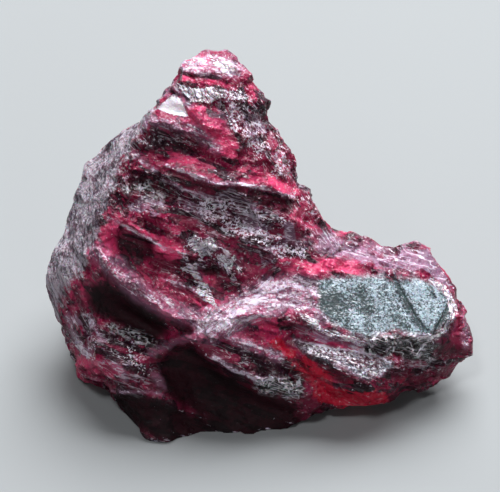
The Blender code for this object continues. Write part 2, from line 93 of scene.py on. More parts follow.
@dataclass(frozen=True)
class Relief:
    """The frame that the showing side is described in, against the row's frame."""

    tilt: float = math.radians(40.0)  # the showing side faces this far above the horizon
    floor: float = -10.0  # height of the resting break, mm
    across_centre: float = -0.08  # middle of the stone's width and depth, mm
    depth_centre: float = 0.55

    def axes(self) -> np.ndarray:
        """The across, up and out directions in the row's frame, as rows."""
        lean, rise = math.sin(self.tilt), math.cos(self.tilt)
        return np.array(((1.0, 0.0, 0.0), (0.0, lean, rise), (0.0, -rise, lean)))

    def from_row(self, spots: np.ndarray) -> np.ndarray:
        """Turns points of the row's frame, in metres, into the relief's.

        Args:
            spots: an N by 3 array of points in metres.

        Returns:
            An N by 3 array of across, up and out in millimetres.
        """
        moved = spots / MM + np.array((self.across_centre, self.depth_centre, self.floor))
        return moved @ self.axes().T


RELIEF = Relief()
SHOWING_EDGE = (-2.5, -0.5)  # out, where the showing side gives way to the hidden sides
STEP_LEAN = np.array((0.30, 0.90, 0.32)) / np.linalg.norm((0.30, 0.90, 0.32))
GRAIN_STRETCH = (0.14, 0.4, 1.0)  # scales along the grain, and the two ways across it


# --------------------------------------------------------------------------- helpers


def ramp(value: np.ndarray, low: float, high: float) -> np.ndarray:
    """Smooth ramp from 0 at low to 1 at high."""
    share = np.clip((value - low) / (high - low), 0.0, 1.0)
    return share * share * (3.0 - 2.0 * share)


@dataclass(frozen=True)
class Swell:
    """Smooth noise over the stone; size is the width of one swell, in mm."""

    size: float
    seed: float

    def at(self, points: np.ndarray) -> np.ndarray:
        """The noise, from about -1 to 1, at each of N points in mm."""
        moved = points / self.size + np.array((self.seed, -self.seed * 1.7, self.seed * 0.6))
        return np.array([noise.noise(spot) for spot in moved.tolist()])


def distance_to_line(points: np.ndarray, line: Line) -> np.ndarray:
    """Distance on the showing side from each point to a line of straight runs.

    Args:
        points: an N by 2 array of across and up.
        line: the line's points, across and up; one point is a spot.

    Returns:
        N distances in mm.
    """
    corners = np.array(line, dtype=float)
    if len(corners) == 1:
        return np.linalg.norm(points - corners[0], axis=1)
    nearest = np.full(len(points), np.inf)
    for start, end in zip(corners, corners[1:]):
        run = end - start
        share = np.clip((points - start) @ run / (run @ run), 0.0, 1.0)
        away = np.linalg.norm(points - start - share[:, None] * run, axis=1)
        nearest = np.minimum(nearest, away)
    return nearest


# --------------------------------------------------------------------------- the surface


@dataclass(frozen=True)
class Steps:
    """A family of fine parting steps. Lengths in mm."""

    pitch: float
    rise: float
    patches: Swell  # the steps show in patches
    riser: float = 0.22  # the riser's share of a pitch

    def height(self, points: np.ndarray, along: np.ndarray) -> np.ndarray:
        """How far the steps stand off the surface at each point."""
        shown = ramp(self.patches.at(points), -0.2, 0.3)
        phase = (along / self.pitch) % 1.0
        tread = 1.0 - 2.0 * phase / (1.0 - self.riser)
        rise = 2.0 * ramp(phase, 1.0 - self.riser, 1.0) - 1.0
        return self.rise * shown * np.where(phase < 1.0 - self.riser, tread, rise)


@dataclass(frozen=True)
class Chips:
    """Small flat breaks, each tilted a little from the surface that it breaks. Lengths in mm."""

    spacing: float
    stretch: float  # how much shorter they are along the steps' lean
    tilt: float
    offset: float
    depth: float
    seed: int


@dataclass
class Skin:
    """The stone's fine surface as arrays that its breaks are cut into."""

    mesh: bpy.types.Mesh
    spots: np.ndarray = field(init=False)

    def __post_init__(self) -> None:
        """Reads the mesh."""
        self.spots = self.read("co", self.mesh.vertices)

    def read(self, name: str, items: bpy.types.bpy_prop_collection) -> np.ndarray:
        """A three-number property of every vertex."""
        values = np.empty(len(items) * 3, dtype=np.float32)
        items.foreach_get(name, values)
        return values.reshape(-1, 3).astype(float)

    def normals(self) -> np.ndarray:
        """Outward direction at every vertex."""
        return self.read("vector", self.mesh.vertex_normals)

    def points(self) -> np.ndarray:
        """Every vertex in the relief's frame, in mm."""
        return RELIEF.from_row(self.spots)

    def put(self, spots: np.ndarray) -> None:
        """Puts every vertex at its row of spots, in metres."""
        self.spots = spots
        self.mesh.vertices.foreach_set("co", spots.astype(np.float32).ravel())
        self.mesh.update()

    def move(self, shift: np.ndarray) -> None:
        """Moves every vertex by its row of shift, in mm."""
        self.put(self.spots + shift * MM)

    def edges(self) -> np.ndarray:
        """The two vertices of every edge."""
        ends = np.empty(len(self.mesh.edges) * 2, dtype=np.int32)
        self.mesh.edges.foreach_get("vertices", ends)
        return ends.reshape(-1, 2)

    def averaged(self, values: np.ndarray, rounds: int) -> np.ndarray:
        """Spreads values over the surface by averaging each with its neighbours.

        Args:
            values: one row for each vertex.
            rounds: how many times to average.

        Returns:
            The spread values.
        """
        ends = self.edges()
        count = np.bincount(ends.ravel(), minlength=len(values)).astype(float)
        out = values.reshape(len(values), -1).copy()
        for _ in range(rounds):
            total = np.empty_like(out)
            for column in range(out.shape[1]):
                there = np.bincount(ends[:, 0], out[ends[:, 1], column], len(out))
                back = np.bincount(ends[:, 1], out[ends[:, 0], column], len(out))
                total[:, column] = there + back
            out = 0.5 * out + 0.5 * total / count[:, None]
        return out.reshape(values.shape)

    def standing_out(self, rounds: int) -> np.ndarray:
        """How far each vertex stands out of its surroundings, in mm; hollows are below 0."""
        around = self.averaged(self.spots, rounds)
        return ((self.spots - around) * self.normals()).sum(axis=1) / MM

    def keep_inside(self, box: Box) -> None:
        """Draws in what stands out of a box, given by its lowest and highest corner in metres."""
        self.put(np.clip(self.spots, *box))

    def mark(self, name: str, values: np.ndarray) -> None:
        """Stores one value for each vertex as an attribute."""
        layer = self.mesh.attributes.new(name, "FLOAT", "POINT")
        layer.data.foreach_set("value", values.astype(np.float32))

    def mark_places(self, name: str, places: np.ndarray) -> None:
        """Stores three coordinates for each vertex as an attribute."""
        layer = self.mesh.attributes.new(name, "FLOAT_VECTOR", "POINT")
        layer.data.foreach_set("vector", places.astype(np.float32).ravel())


def chip_middles(points: np.ndarray, chips: Chips, dice: random.Random) -> list[int]:
    """Picks points that are at least the chips' spacing apart.

    Args:
        points: an N by 3 array in mm.
        chips: the family of chips.
        dice: a seeded random generator.

    Returns:
        The numbers of the picked points.
    """
    order = list(range(len(points)))
    dice.shuffle(order)
    cells: dict[tuple[int, ...], list[np.ndarray]] = {}
    picked = []
    keys = np.floor(points / chips.spacing).astype(int)
    for n in order:
        cell = tuple(keys[n])
        near = itertools.product(*(range(value - 1, value + 2) for value in cell))
        rivals = [other for key in near for other in cells.get(key, ())]
        if rivals and min(((np.array(rivals) - points[n]) ** 2).sum(axis=1)) < chips.spacing**2:
            continue
        cells.setdefault(cell, []).append(points[n])
        picked.append(n)
    return picked


def break_into_chips(skin: Skin, chips: Chips, strength: np.ndarray) -> None:
    """Moves each vertex towards the flat break whose middle is nearest.

    Args:
        skin: the surface.
        chips: the family of chips.
        strength: how strongly the chips show at each vertex.
    """
    dice = random.Random(chips.seed)
    points = skin.points()
    near_points = points + np.outer(points @ STEP_LEAN * (chips.stretch - 1.0), STEP_LEAN)
    middles = chip_middles(near_points, chips, dice)
    tree = KDTree(len(middles))
    for place, n in enumerate(middles):
        tree.insert(near_points[n], place)
    tree.balance()
    owner = np.array([tree.find(spot)[1] for spot in near_points.tolist()])
    tilts = np.array([[dice.uniform(-1.0, 1.0) for _ in range(3)] for _ in middles]) * chips.tilt
    facing = skin.normals()[middles] + tilts
    facing /= np.linalg.norm(facing, axis=1)[:, None]
    offsets = np.array([dice.uniform(-chips.offset, chips.offset) for _ in middles])
    away = (skin.spots[middles][owner] - skin.spots) / MM
    height = (away * facing[owner]).sum(axis=1) + offsets[owner]
    height = np.clip(height, -chips.depth, chips.depth) * strength
    skin.move(facing[owner] * height[:, None])


# --------------------------------------------------------------------------- the stone


@dataclass(frozen=True)
class Stroke:
    """A soft mark along a line on the showing side. Lengths in mm."""

    line: Line
    width: float
    strength: float = 1.0
    ragged: float = 0.35
    core: float = 0.45  # the share of the width that has the full strength

    def mask(self, points: np.ndarray, roughness: np.ndarray) -> np.ndarray:
        """The stroke's strength at each point, with a ragged edge."""
        away = distance_to_line(points[:, :2], self.line) + self.ragged * roughness
        return self.strength * (1.0 - ramp(away, self.core * self.width, self.width))


@dataclass(frozen=True)
class Patch:
    """A mark with straight sides on the showing side. Lengths in mm."""

    outline: Line
    strength: float = 1.0
    ragged: float = 0.12
    soft: float = 0.15

    def mask(self, points: np.ndarray, roughness: np.ndarray) -> np.ndarray:
        """The patch's strength at each point, with a narrow ragged border."""
        corners = np.array(self.outline)
        x, y = points[:, 0], points[:, 1]
        inside = np.zeros(len(points), dtype=bool)
        for (ax, ay), (bx, by) in zip(corners, np.roll(corners, -1, axis=0)):
            crosses = (ay > y) != (by > y)
            with np.errstate(divide="ignore", invalid="ignore"):
                reach = (bx - ax) * (y - ay) / (by - ay) + ax
            inside ^= crosses & (x < reach)
        closed = self.outline + self.outline[:1]
        away = distance_to_line(points[:, :2], closed) * np.where(inside, -1.0, 1.0)
        return self.strength * (1.0 - ramp(away + self.ragged * roughness, -self.soft, self.soft))


class Mark(Enum):
    """What the material reads from the surface."""

    # frost on the crests, with painted highlights on parts facing up, on lips and on chips
    FROST_AND_SHEEN = "frost_and_sheen"
    # painted glints: pale specks and curls of light, with painted shade between them
    PAINTED_SPARKLE = "painted_sparkle_mask"
    HAZE = "plum_haze"
    # painted glow where light would shine through the crimson crystal
    WINDOW = "crimson_window_painted_glow"
    # painted red glow where light would leave the stone's underside
    PAINTED_UNDERSIDE_GLOW = "red_underside_painted_glow"
    # painted shade: near-black in the hollows, creases and on the underside
    PAINTED_SHADE = "hollow_painted_shade"
    # dark glassy crumples, with painted glints along their lines
    GLASSY = "glassy_crumple"
    SMOOTH = "smooth_break"
    FACE = "natural_face"
    # the natural face's darker tone, and painted shade along its cracks
    FACE_SHADE = "natural_face_shade"
    OLD_SKIN = "old_skin"
    # painted highlights on bright facets, chips and rims, with painted shade in their hatching
    PAINTED_GLARE = "bright_facet_painted_glare"
    CREST = "crest"


NATURAL_FACE = (
    (4.2, -2.5), (6.0, -2.3), (9.6, -2.3), (12.6, -2.5), (14.2, -3.8), (14.2, -5.4),
    (12.8, -6.7), (10.2, -6.4), (7.8, -6.7), (5.5, -6.0), (4.2, -4.5),
)
SECOND_LEDGE = (
    (2.3, -6.9), (5.0, -7.4), (9.8, -8.5), (9.7, -9.0), (8.0, -10.0), (6.3, -8.9), (3.2, -7.9),
)
BASIN_FOLD = ((-11.6, -2.0), (-9.6, -3.6), (-8.2, -4.9), (-5.2, -6.3))
SHORT_CRACK = ((12.4, -2.7), (13.0, -3.8))
END_CRACK = ((14.1, -4.3), (13.3, -5.8), (13.0, -6.4))

# Each Stroke has its line, width, strength and raggedness; each Patch its outline, strength,
# raggedness and softness.
# Frost, with painted highlights on its lips, crests and chips.
FROST_AND_SHEEN = (
    # peak
    Stroke(((-5.8, 14.0), (-4.6, 13.6), (-3.9, 13.6), (-2.0, 13.3)), 1.2, 0.75),
    Stroke(((-8.4, 9.3), (-6.5, 9.0), (-4.8, 8.6), (-3.2, 7.2)), 0.6, 0.6, 0.2),
    Stroke(((-7.2, 11.4), (-6.1, 10.9), (-5.2, 10.3)), 0.5, 0.6, 0.3),
    Stroke(((-6.7, 12.3), (-6.1, 11.4)), 0.5, 0.6, 0.3),
    Stroke(((-6.0, 9.0), (-4.0, 9.4), (-2.6, 9.2)), 1.0, 0.3),
    Stroke(((-2.4, 10.8), (-1.2, 9.2), (0.0, 7.6)), 0.25, 0.6, 0.15),
    # lips of the bands
    Stroke(
        ((-6.9, 5.95), (-4.9, 5.25), (-3.2, 4.6), (-1.7, 4.6), (0.0, 4.35), (2.5, 3.6)),
        0.22, 0.85, 0.08,
    ),
    Stroke(((-7.2, 4.9), (-5.6, 4.2), (-4.2, 3.7), (-2.9, 3.2)), 0.2, 0.8, 0.08),
    Stroke(((-9.4, 6.9), (-8.6, 6.2), (-7.7, 5.6)), 0.26, 0.7, 0.2),
    # basin, pocket and chips
    Stroke(((-12.0, -0.4), (-10.6, -1.7), (-8.9, -3.3), (-6.6, -4.7), (-4.3, -5.4)), 1.1, 0.58, 0.2),
    Stroke(((-11.2, 2.1), (-9.3, 1.1), (-8.1, 0.5), (-7.0, -0.3), (-5.5, -0.6)), 0.2, 0.8, 0.08),
    Stroke(((-7.2, -2.4), (-6.0, -2.9), (-4.9, -3.3), (-4.2, -3.9)), 0.26, 0.75, 0.18),
    Stroke(((-4.6, 0.2), (-3.4, -0.2)), 0.9, 0.4, 0.6),
    Stroke(((-3.2, -0.4), (-1.9, -1.5)), 0.8, 0.4, 0.6),
    Patch(((-5.5, -1.2), (-4.6, -1.5), (-3.5, -3.2), (-4.4, -2.8)), 0.62, 0.35, 0.25),
    Stroke(((1.0, -0.4), (2.2, 0.4), (3.4, 0.2)), 0.5, 0.5, 0.4),
    # shoulder, and the front under it
    Stroke(((-3.5, -5.7), (-2.0, -5.2), (-0.4, -4.4), (1.0, -3.6), (3.2, -3.4)), 1.9, 0.75),
    Stroke(((-2.8, -5.6), (-1.6, -4.9), (-0.4, -4.2), (0.4, -3.2), (0.8, -2.4)), 0.35, 0.9, 0.1),
    Stroke(((3.0, -2.8), (3.5, -3.6), (3.9, -4.6), (4.5, -5.6)), 0.8, 0.62, 0.5),
    Stroke(((-8.0, -7.8), (-6.4, -7.1), (-4.0, -6.2)), 0.4, 0.4),
    Stroke(((-3.2, -6.4), (-1.4, -7.0), (0.2, -7.7), (1.3, -8.1)), 0.55, 0.66, 0.35),
    Stroke(((-3.4, -8.2), (-2.6, -8.7), (-1.8, -9.2), (-0.5, -9.7), (2.0, -9.9)), 0.26, 0.8, 0.2),
    # arm and natural face
    Stroke(((4.4, 0.2), (6.4, -0.4), (8.6, -0.8), (11.4, -1.2)), 1.3, 0.4, 0.6),
    Stroke(
        ((12.6, -2.4), (14.0, -3.3), (14.5, -4.6), (14.2, -5.8), (13.0, -6.8), (10.6, -6.6)),
        0.5, 0.3,
    ),
    Stroke(((2.6, -4.6), (4.5, -6.1), (7.5, -7.0), (9.0, -6.9)), 0.4, 0.3, 0.15),
    Stroke(((6.1, -2.5), (6.6, -4.0), (6.9, -5.4)), 0.4, 0.5, 0.3),
    Stroke(((15.2, -5.4), (15.4, -7.4)), 0.4, 0.6, 0.15),
    # second ledge
    Stroke(((3.2, -6.3), (5.4, -6.8), (7.8, -7.5)), 0.5, 0.52, 0.3),
    Stroke(((2.4, -6.9), (5.0, -7.45), (8.5, -8.05), (9.7, -8.6)), 0.16, 0.9, 0.06),
    Patch(SECOND_LEDGE, 0.35),
    Stroke(((5.4, -8.4), (6.5, -8.9), (8.0, -9.8), (9.3, -9.2)), 0.3, 0.62, 0.25),
    # left flank and foot
    Stroke(((-13.6, -7.3), (-12.9, -8.0)), 0.5, 0.8, 0.3),
    Stroke(((-10.6, -8.9), (-10.0, -9.6)), 0.5, 0.6, 0.3),
    Patch(((-8.4, -9.0), (-7.4, -9.3), (-6.9, -10.7), (-7.7, -10.2)), 0.62, 0.3, 0.2),
    Stroke(((-12.6, -5.6), (-11.6, -7.0)), 0.25, 0.7, 0.2),
    Stroke(
        ((-13.3, -9.9), (-12.3, -10.0), (-11.5, -10.8), (-8.0, -10.8), (-7.2, -11.0)),
        0.18, 0.6, 0.08,
    ),
    Stroke(((-14.4, -5.4), (-13.8, -7.0)), 0.5, 0.6),
)
# Painted highlights on bright facets, chips and rims.
PAINTED_GLARE = (
    # peak
    Patch(((-7.6, 10.2), (-6.5, 11.3), (-5.9, 10.9), (-5.2, 9.5), (-6.8, 9.8)), 1.5, 0.05, 0.08),
    Patch(((-6.3, 12.2), (-5.0, 11.8), (-3.4, 11.8), (-2.6, 11.1), (-3.6, 10.6), (-5.2, 10.7)), 1.0, 0.1),
    Patch(((-3.8, 13.9), (-2.4, 13.8), (-1.6, 12.9), (-3.0, 12.9)), 0.95, 0.25),
    # basin and chips
    Stroke(((-11.4, -0.9), (-9.6, -2.4), (-7.4, -4.0), (-5.2, -5.0), (-4.0, -5.4)), 0.8, 0.42, 0.3),
    Stroke(((-5.5, -0.9), (-5.0, -1.8), (-4.5, -2.7)), 0.5, 0.8, 0.5),
    Stroke(((-4.7, 0.0), (-3.6, -0.4)), 0.8, 0.82, 0.8),
    Stroke(((-3.2, -0.6), (-2.5, -1.0), (-2.0, -1.7)), 0.7, 0.82, 0.8),
    Patch(((-4.9, -3.3), (-3.9, -2.7), (-3.1, -4.5), (-4.2, -4.1)), 1.0, 0.08, 0.08),
    # rims of the natural face, and the second ledge
    Stroke(((2.8, -4.8), (4.5, -6.15), (6.0, -6.8), (7.5, -7.1), (8.8, -7.0)), 0.4, 0.85, 0.2),
    Stroke(
        ((12.7, -2.5), (14.0, -3.4), (14.4, -4.6), (14.1, -5.8), (13.0, -6.8), (11.0, -6.7)),
        0.42, 0.85, 0.2,
    ),
    Patch(SECOND_LEDGE, 0.62),
)
# Painted glints, with painted shade between them.
PAINTED_SPARKLE = (
    # peak and right slope
    Stroke(((-2.2, 11.2), (-1.2, 9.6), (0.2, 8.0), (1.8, 6.2)), 2.0, 0.85),
    Stroke(((2.6, 4.4), (3.6, 2.0), (4.6, 0.8)), 1.2, 0.7),
    Stroke(((-8.6, 8.0), (-7.0, 8.0), (-5.0, 7.4)), 0.8, 0.6),
    # bands and chips
    Stroke(((-10.6, 4.6), (-8.4, 4.8), (-6.8, 4.2)), 1.3, 0.55),
    Stroke(((-3.4, 2.4), (-1.0, 1.8), (1.2, 0.8), (2.2, -0.4)), 2.0, 0.95),
    Stroke(((-5.4, 0.4), (-3.4, -0.4), (-2.0, -1.6)), 1.1, 1.0),
    Stroke(((-3.6, -0.8), (-1.6, -1.8), (-0.8, -3.4)), 1.5, 0.55),
    Stroke(((-8.4, -2.2), (-6.0, -2.0), (-4.6, -1.0)), 0.8, 0.4),
    Stroke(((-6.0, -2.8), (-4.2, -3.6)), 0.7, 0.5),
    Stroke(((2.6, -0.2), (4.4, -0.2), (5.2, 0.4)), 1.1, 0.6),
    # front and left foot
    Stroke(((-1.6, -8.8), (0.8, -9.6), (2.4, -9.8)), 0.8, 0.55),
    Stroke(((-3.0, -7.8), (-0.8, -8.4)), 0.9, 0.55),
    Stroke(((-11.2, -7.2), (-9.0, -8.2), (-7.8, -9.6)), 1.2, 0.6),
    Stroke(((-9.8, -8.0), (-8.2, -9.6)), 0.9, 0.8),
    Stroke(((-13.6, -7.2), (-12.6, -7.8)), 0.8, 0.8),
    # arm
    Patch(
        ((2.3, -6.9), (5.0, -7.4), (8.5, -8.0), (9.8, -8.6), (8.0, -10.0), (6.3, -8.9), (3.2, -7.9)),
        1.0,
    ),
    Stroke(((9.6, -8.4), (12.4, -8.6)), 1.0, 0.45),
)
HAZE = (
    # peak
    Stroke(((-2.2, 10.8), (0.0, 8.4), (1.6, 6.6)), 1.4, 0.45),
    Stroke(((-8.6, 9.6), (-9.6, 7.4)), 0.7, 0.6),
    # bands
    Stroke(((-9.2, 3.2), (-7.6, 2.9)), 0.9, 0.75),
    Stroke(((-5.4, 3.2), (-3.6, 2.8)), 1.2, 0.8),
    Stroke(((-2.4, 3.0), (-1.0, 2.6), (-0.2, 1.6)), 1.5, 0.9, 0.8),
    Stroke(((0.4, 0.6), (0.6, -1.0)), 0.8, 0.8),
    Patch(((1.7, 1.9), (2.5, 1.7), (2.7, 0.3), (1.9, 0.4)), 1.2, 0.05, 0.08),
    # arm
    Stroke(((5.4, 0.4), (8.4, -0.4), (11.4, -1.0)), 1.3, 1.0),
    Patch(((11.6, -0.2), (12.6, -0.2), (14.4, -3.0), (13.6, -2.8), (12.0, -1.6)), 1.3, 0.08, 0.1),
    Stroke(((3.0, -6.1), (5.6, -6.9), (8.6, -7.8)), 0.5, 0.8),
    Stroke(((9.6, -8.8), (13.4, -8.8)), 1.0, 0.35),
    # left foot
    Stroke(((-13.2, -5.4), (-12.2, -6.6)), 1.0, 0.7),
    Stroke(((-11.0, -8.8), (-9.0, -10.2)), 1.2, 0.6),
)
# Painted glow where light would shine through.
WINDOW = (
    # peak
    Stroke(((-5.4, 14.2), (-4.4, 13.6)), 1.0, 0.7),
    Stroke(((-5.6, 12.5), (-3.5, 12.2), (-1.8, 11.8)), 0.4, 0.8, 0.15),
    Stroke(((-0.8, 11.6), (-0.6, 10.7)), 0.5, 0.8),
    Stroke(((-5.0, 9.8), (-3.2, 8.6), (-2.2, 7.4)), 1.1, 0.85),
    Stroke(((0.8, 8.2), (1.2, 7.0), (2.2, 5.4)), 0.6, 0.7),
    # bands
    Stroke(((-6.4, 6.5), (-5.0, 6.3)), 0.6, 0.6),
    Stroke(((-2.0, 5.4), (0.6, 5.0), (2.4, 4.3)), 0.8, 0.5),
    Stroke(((1.0, 4.6), (2.4, 4.2)), 0.8, 0.9),
    Stroke(((2.8, 2.4), (3.7, 1.6)), 0.7, 0.9),
    # basin
    Stroke(((-11.4, 1.2), (-11.0, -0.2)), 0.9, 0.7),
    Stroke(((-10.8, 1.9), (-9.2, 1.3), (-7.6, 0.4), (-6.0, -0.6)), 0.5, 0.7),
    Stroke(((-7.2, 0.0), (-6.2, -0.4)), 0.9, 1.2),
    Stroke(((-3.8, -2.4),), 0.8, 0.9),
    Stroke(((-8.6, -1.8), (-6.4, -3.2), (-3.6, -4.4)), 1.0, 0.6),
    # arm
    Stroke(((5.6, 0.6), (6.6, 0.4)), 0.6, 0.7),
    Stroke(((1.8, -1.2), (3.6, -1.6), (5.4, -1.4), (7.2, -1.6)), 0.8, 0.88),
    Stroke(((3.0, -6.2), (5.0, -6.9), (7.4, -7.6)), 0.5, 0.8),
    Stroke(((14.6, -5.6), (14.8, -6.8)), 0.9, 0.7),
    # front and left foot
    Stroke(((-0.4, -5.7), (0.9, -5.8)), 0.6, 1.0),
    Stroke(((-2.0, -6.0), (0.6, -6.6), (2.0, -6.6)), 0.5, 0.6),
    Stroke(((-13.6, -3.6), (-13.2, -4.8)), 0.9, 0.6),
    Stroke(((-13.6, -8.6), (-12.4, -8.9), (-10.6, -9.2)), 0.9, 0.8),
    Stroke(((-9.6, -9.4), (-8.6, -10.2)), 0.7, 0.6),
)
# Painted red glow where light would leave the underside.
PAINTED_UNDERSIDE_GLOW = (
    Stroke(((1.3, -7.2), (2.3, -8.1)), 0.8, 1.0),
    Stroke(((2.8, -8.8), (4.0, -9.4), (4.8, -10.2)), 1.1, 1.0),
    Stroke(((4.8, -11.0), (6.8, -11.5), (8.8, -11.5)), 1.1, 1.3),
    Stroke(((-1.0, -6.8), (0.8, -8.2), (2.0, -9.4)), 0.7, 0.6),
    Stroke(((5.0, -10.0), (7.8, -10.6), (10.4, -10.4)), 0.9, 0.5),
)
# Painted shade in the hollows, creases and under the stone.
PAINTED_SHADE = (
    # peak and bands
    Stroke(((-5.8, 12.95), (-5.0, 12.6), (-3.2, 12.5)), 0.22, 0.9, 0.1),
    Stroke(((-8.0, 8.0), (-6.2, 7.8), (-4.8, 7.4)), 0.8, 0.3),
    Stroke(((-10.2, 4.6), (-8.4, 4.6), (-6.8, 4.0)), 0.8, 0.5, 0.5),
    Stroke(((-6.6, 5.1), (-4.6, 4.5), (-2.0, 3.9), (2.2, 3.1)), 0.75, 0.7),
    Stroke(((-5.6, 2.2), (-4.0, 1.6), (-2.6, 0.8)), 0.7, 0.5, 0.6),
    # basin
    Stroke(((-9.9, 0.1), (-8.8, -0.2)), 1.2, 0.75),
    Stroke(((-7.6, -1.4), (-5.8, -1.6), (-4.4, -1.0)), 0.6, 0.5, 0.5),
    Stroke(((-3.9, -1.8), (-3.3, -1.8)), 0.6, 0.9),
    Stroke(BASIN_FOLD, 0.35, 0.8, 0.15),
    # the great hollows
    Stroke(((-11.6, -3.9), (-10.0, -4.9), (-8.0, -6.0)), 1.7, 1.0),
    Stroke(((-5.6, -9.4), (-3.4, -11.2), (-1.0, -12.6), (1.0, -13.0)), 3.2, 1.0),
    Stroke(((-9.8, -12.0), (-7.6, -12.8), (-5.6, -13.6), (-3.0, -14.2)), 2.2, 1.0),
    # arm
    Stroke(
        ((4.0, -5.0), (4.9, -6.0), (6.0, -6.45), (7.8, -6.85), (10.2, -6.6), (12.6, -6.95)),
        0.16, 0.85, 0.12,
    ),
    Stroke(((3.4, -5.9), (4.8, -6.6), (6.4, -7.1), (8.0, -7.5)), 0.25, 0.35, 0.2),
    Stroke(((3.4, -8.6), (5.6, -9.4), (8.0, -10.6)), 0.7, 0.7, 0.6),
    Patch(((12.2, -6.9), (15.6, -6.2), (15.4, -8.4), (12.6, -9.0)), 0.6, 0.6, 0.4),
    Stroke(((9.6, -9.2), (12.0, -9.8)), 0.9, 0.6),
    Stroke(((3.0, -11.6), (5.0, -11.9)), 0.9, 0.5),
    Stroke(((-0.4, -8.9), (1.6, -9.6)), 0.5, 0.6, 0.5),
)
# Dark glassy crumples, which carry painted glints.
GLASSY = (
    Stroke(((8.6, -7.4), (10.4, -7.35), (12.3, -7.8)), 1.1, 1.0),
    Stroke(((0.4, -10.3), (2.6, -10.5)), 0.9, 1.0),
    Stroke(((-11.4, -5.9), (-9.4, -6.6), (-8.0, -7.2)), 0.5, 0.7, 0.5),
    Stroke(((-9.6, 4.2), (-7.4, 4.0)), 0.8, 0.6),
)
SMOOTH = (
    Stroke(((-12.0, -3.6), (-9.8, -4.8), (-7.8, -5.9)), 1.8, 0.9),
    Stroke(((-5.6, -9.4), (-3.0, -11.4), (-0.6, -12.4)), 3.0, 0.8),
    Stroke(((-9.2, -12.2), (-6.8, -13.0)), 1.9, 0.6),
    Stroke(((-6.2, 6.3), (-3.6, 5.8)), 0.9, 0.4),
    Stroke(((-10.6, 0.4), (-8.4, -0.4)), 1.6, 0.7),
    Stroke(((12.0, -0.8), (13.8, -2.4)), 1.1, 0.8),
    Stroke(((-6.9, 10.2), (-6.0, 10.5)), 0.9, 0.9),
    Stroke(((2.0, 1.4), (2.6, 0.5)), 0.8, 0.8),
    Stroke(((12.4, -6.9), (14.4, -7.4)), 1.1, 0.7),
)
FACE = (
    Patch(NATURAL_FACE, ragged=0.3, soft=0.35),
    Patch(SECOND_LEDGE, 0.5),
)
FACE_SHADE = (
    Patch(((4.3, -3.2), (6.1, -3.3), (6.5, -5.2), (5.6, -5.9), (4.2, -4.5)), 1.35, 0.5, 0.5),
    Stroke(((7.4, -3.0), (7.9, -4.6), (8.1, -6.2)), 0.5, 0.9, 0.4),
    Stroke(((3.6, -7.4), (6.2, -8.1), (8.4, -8.7)), 0.7, 1.3, 0.3),
    Stroke(((7.4, -3.4), (8.6, -4.8), (9.6, -6.0)), 1.6, 0.4, 0.8),
    # painted shade along the cracks
    Stroke(((9.8, -2.3), (10.5, -3.4), (11.2, -4.8), (11.9, -5.9), (12.8, -6.7)), 0.3, 1.0, 0.05),
    Stroke(SHORT_CRACK, 0.25, 0.9, 0.05),
    Stroke(END_CRACK, 0.25, 0.9, 0.05),
)
STROKES: dict[Mark, tuple[Stroke | Patch, ...]] = {
    Mark.FROST_AND_SHEEN: FROST_AND_SHEEN,
    Mark.PAINTED_GLARE: PAINTED_GLARE,
    Mark.PAINTED_SPARKLE: PAINTED_SPARKLE,
    Mark.HAZE: HAZE,
    Mark.WINDOW: WINDOW,
    Mark.PAINTED_UNDERSIDE_GLOW: PAINTED_UNDERSIDE_GLOW,
    Mark.PAINTED_SHADE: PAINTED_SHADE,
    Mark.GLASSY: GLASSY,
    Mark.SMOOTH: SMOOTH,
    Mark.FACE: FACE,
    Mark.FACE_SHADE: FACE_SHADE,
}


@dataclass(frozen=True)
class Groove:
    """A fine cut along a line on the showing side. Lengths in mm."""

    line: Line
    width: float
    depth: float
    ragged: float = 0.05

    def cut(self, points: np.ndarray, roughness: np.ndarray) -> np.ndarray:
        """How deep the groove is at each point, with a slightly ragged edge."""
        away = distance_to_line(points[:, :2], self.line) + self.ragged * roughness
        return self.depth * (1.0 - ramp(away, 0.0, self.width))


GROOVES = (
    Groove(((9.9, -2.3), (10.6, -3.4), (11.3, -4.8), (12.0, -5.9), (12.9, -6.7)), 0.22, 0.14),
    Groove(((9.5, -2.5), (10.2, -3.7), (10.9, -5.0), (11.5, -6.1)), 0.2, 0.1),
    Groove(SHORT_CRACK, 0.2, 0.12),
    Groove(END_CRACK, 0.2, 0.14),
    Groove(BASIN_FOLD, 0.32, 0.22),
    Groove(((-6.9, 5.7), (-4.9, 5.0), (-2.5, 4.2), (0.0, 4.1), (2.4, 3.3)), 0.35, 0.25),
    Groove(((-5.9, 13.0), (-5.0, 12.6), (-3.0, 12.4)), 0.25, 0.2),
    Groove(((-7.2, 4.7), (-5.6, 4.0), (-4.2, 3.5), (-2.9, 3.0)), 0.25, 0.15),
    Groove(((-7.2, -2.7), (-6.0, -3.2), (-4.9, -3.6), (-4.2, -4.2)), 0.25, 0.18),
    Groove(((2.4, -6.1), (4.2, -6.6), (6.4, -7.3), (8.8, -8.0)), 0.3, 0.2),
)


@dataclass(frozen=True)
class Run:
    """A place where the grain runs another way than the steps do. Lengths in mm, turn in degrees."""

    line: Line
    width: float
    turn: float
    dip: float = 0.25
    ragged: float = 0.3
    deepest: float = -3.0

    def covers(self, points: np.ndarray, roughness: np.ndarray) -> np.ndarray:
        """Which points the run covers."""
        away = distance_to_line(points[:, :2], self.line) + self.ragged * roughness
        return (away < self.width) & (points[:, 2] > self.deepest)

    def lean(self) -> np.ndarray:
        """The direction square to the grain here, as STEP_LEAN is square to the steps."""
        turn = math.radians(self.turn)
        lean = np.array((-math.sin(turn), math.cos(turn), self.dip))
        return lean / np.linalg.norm(lean)


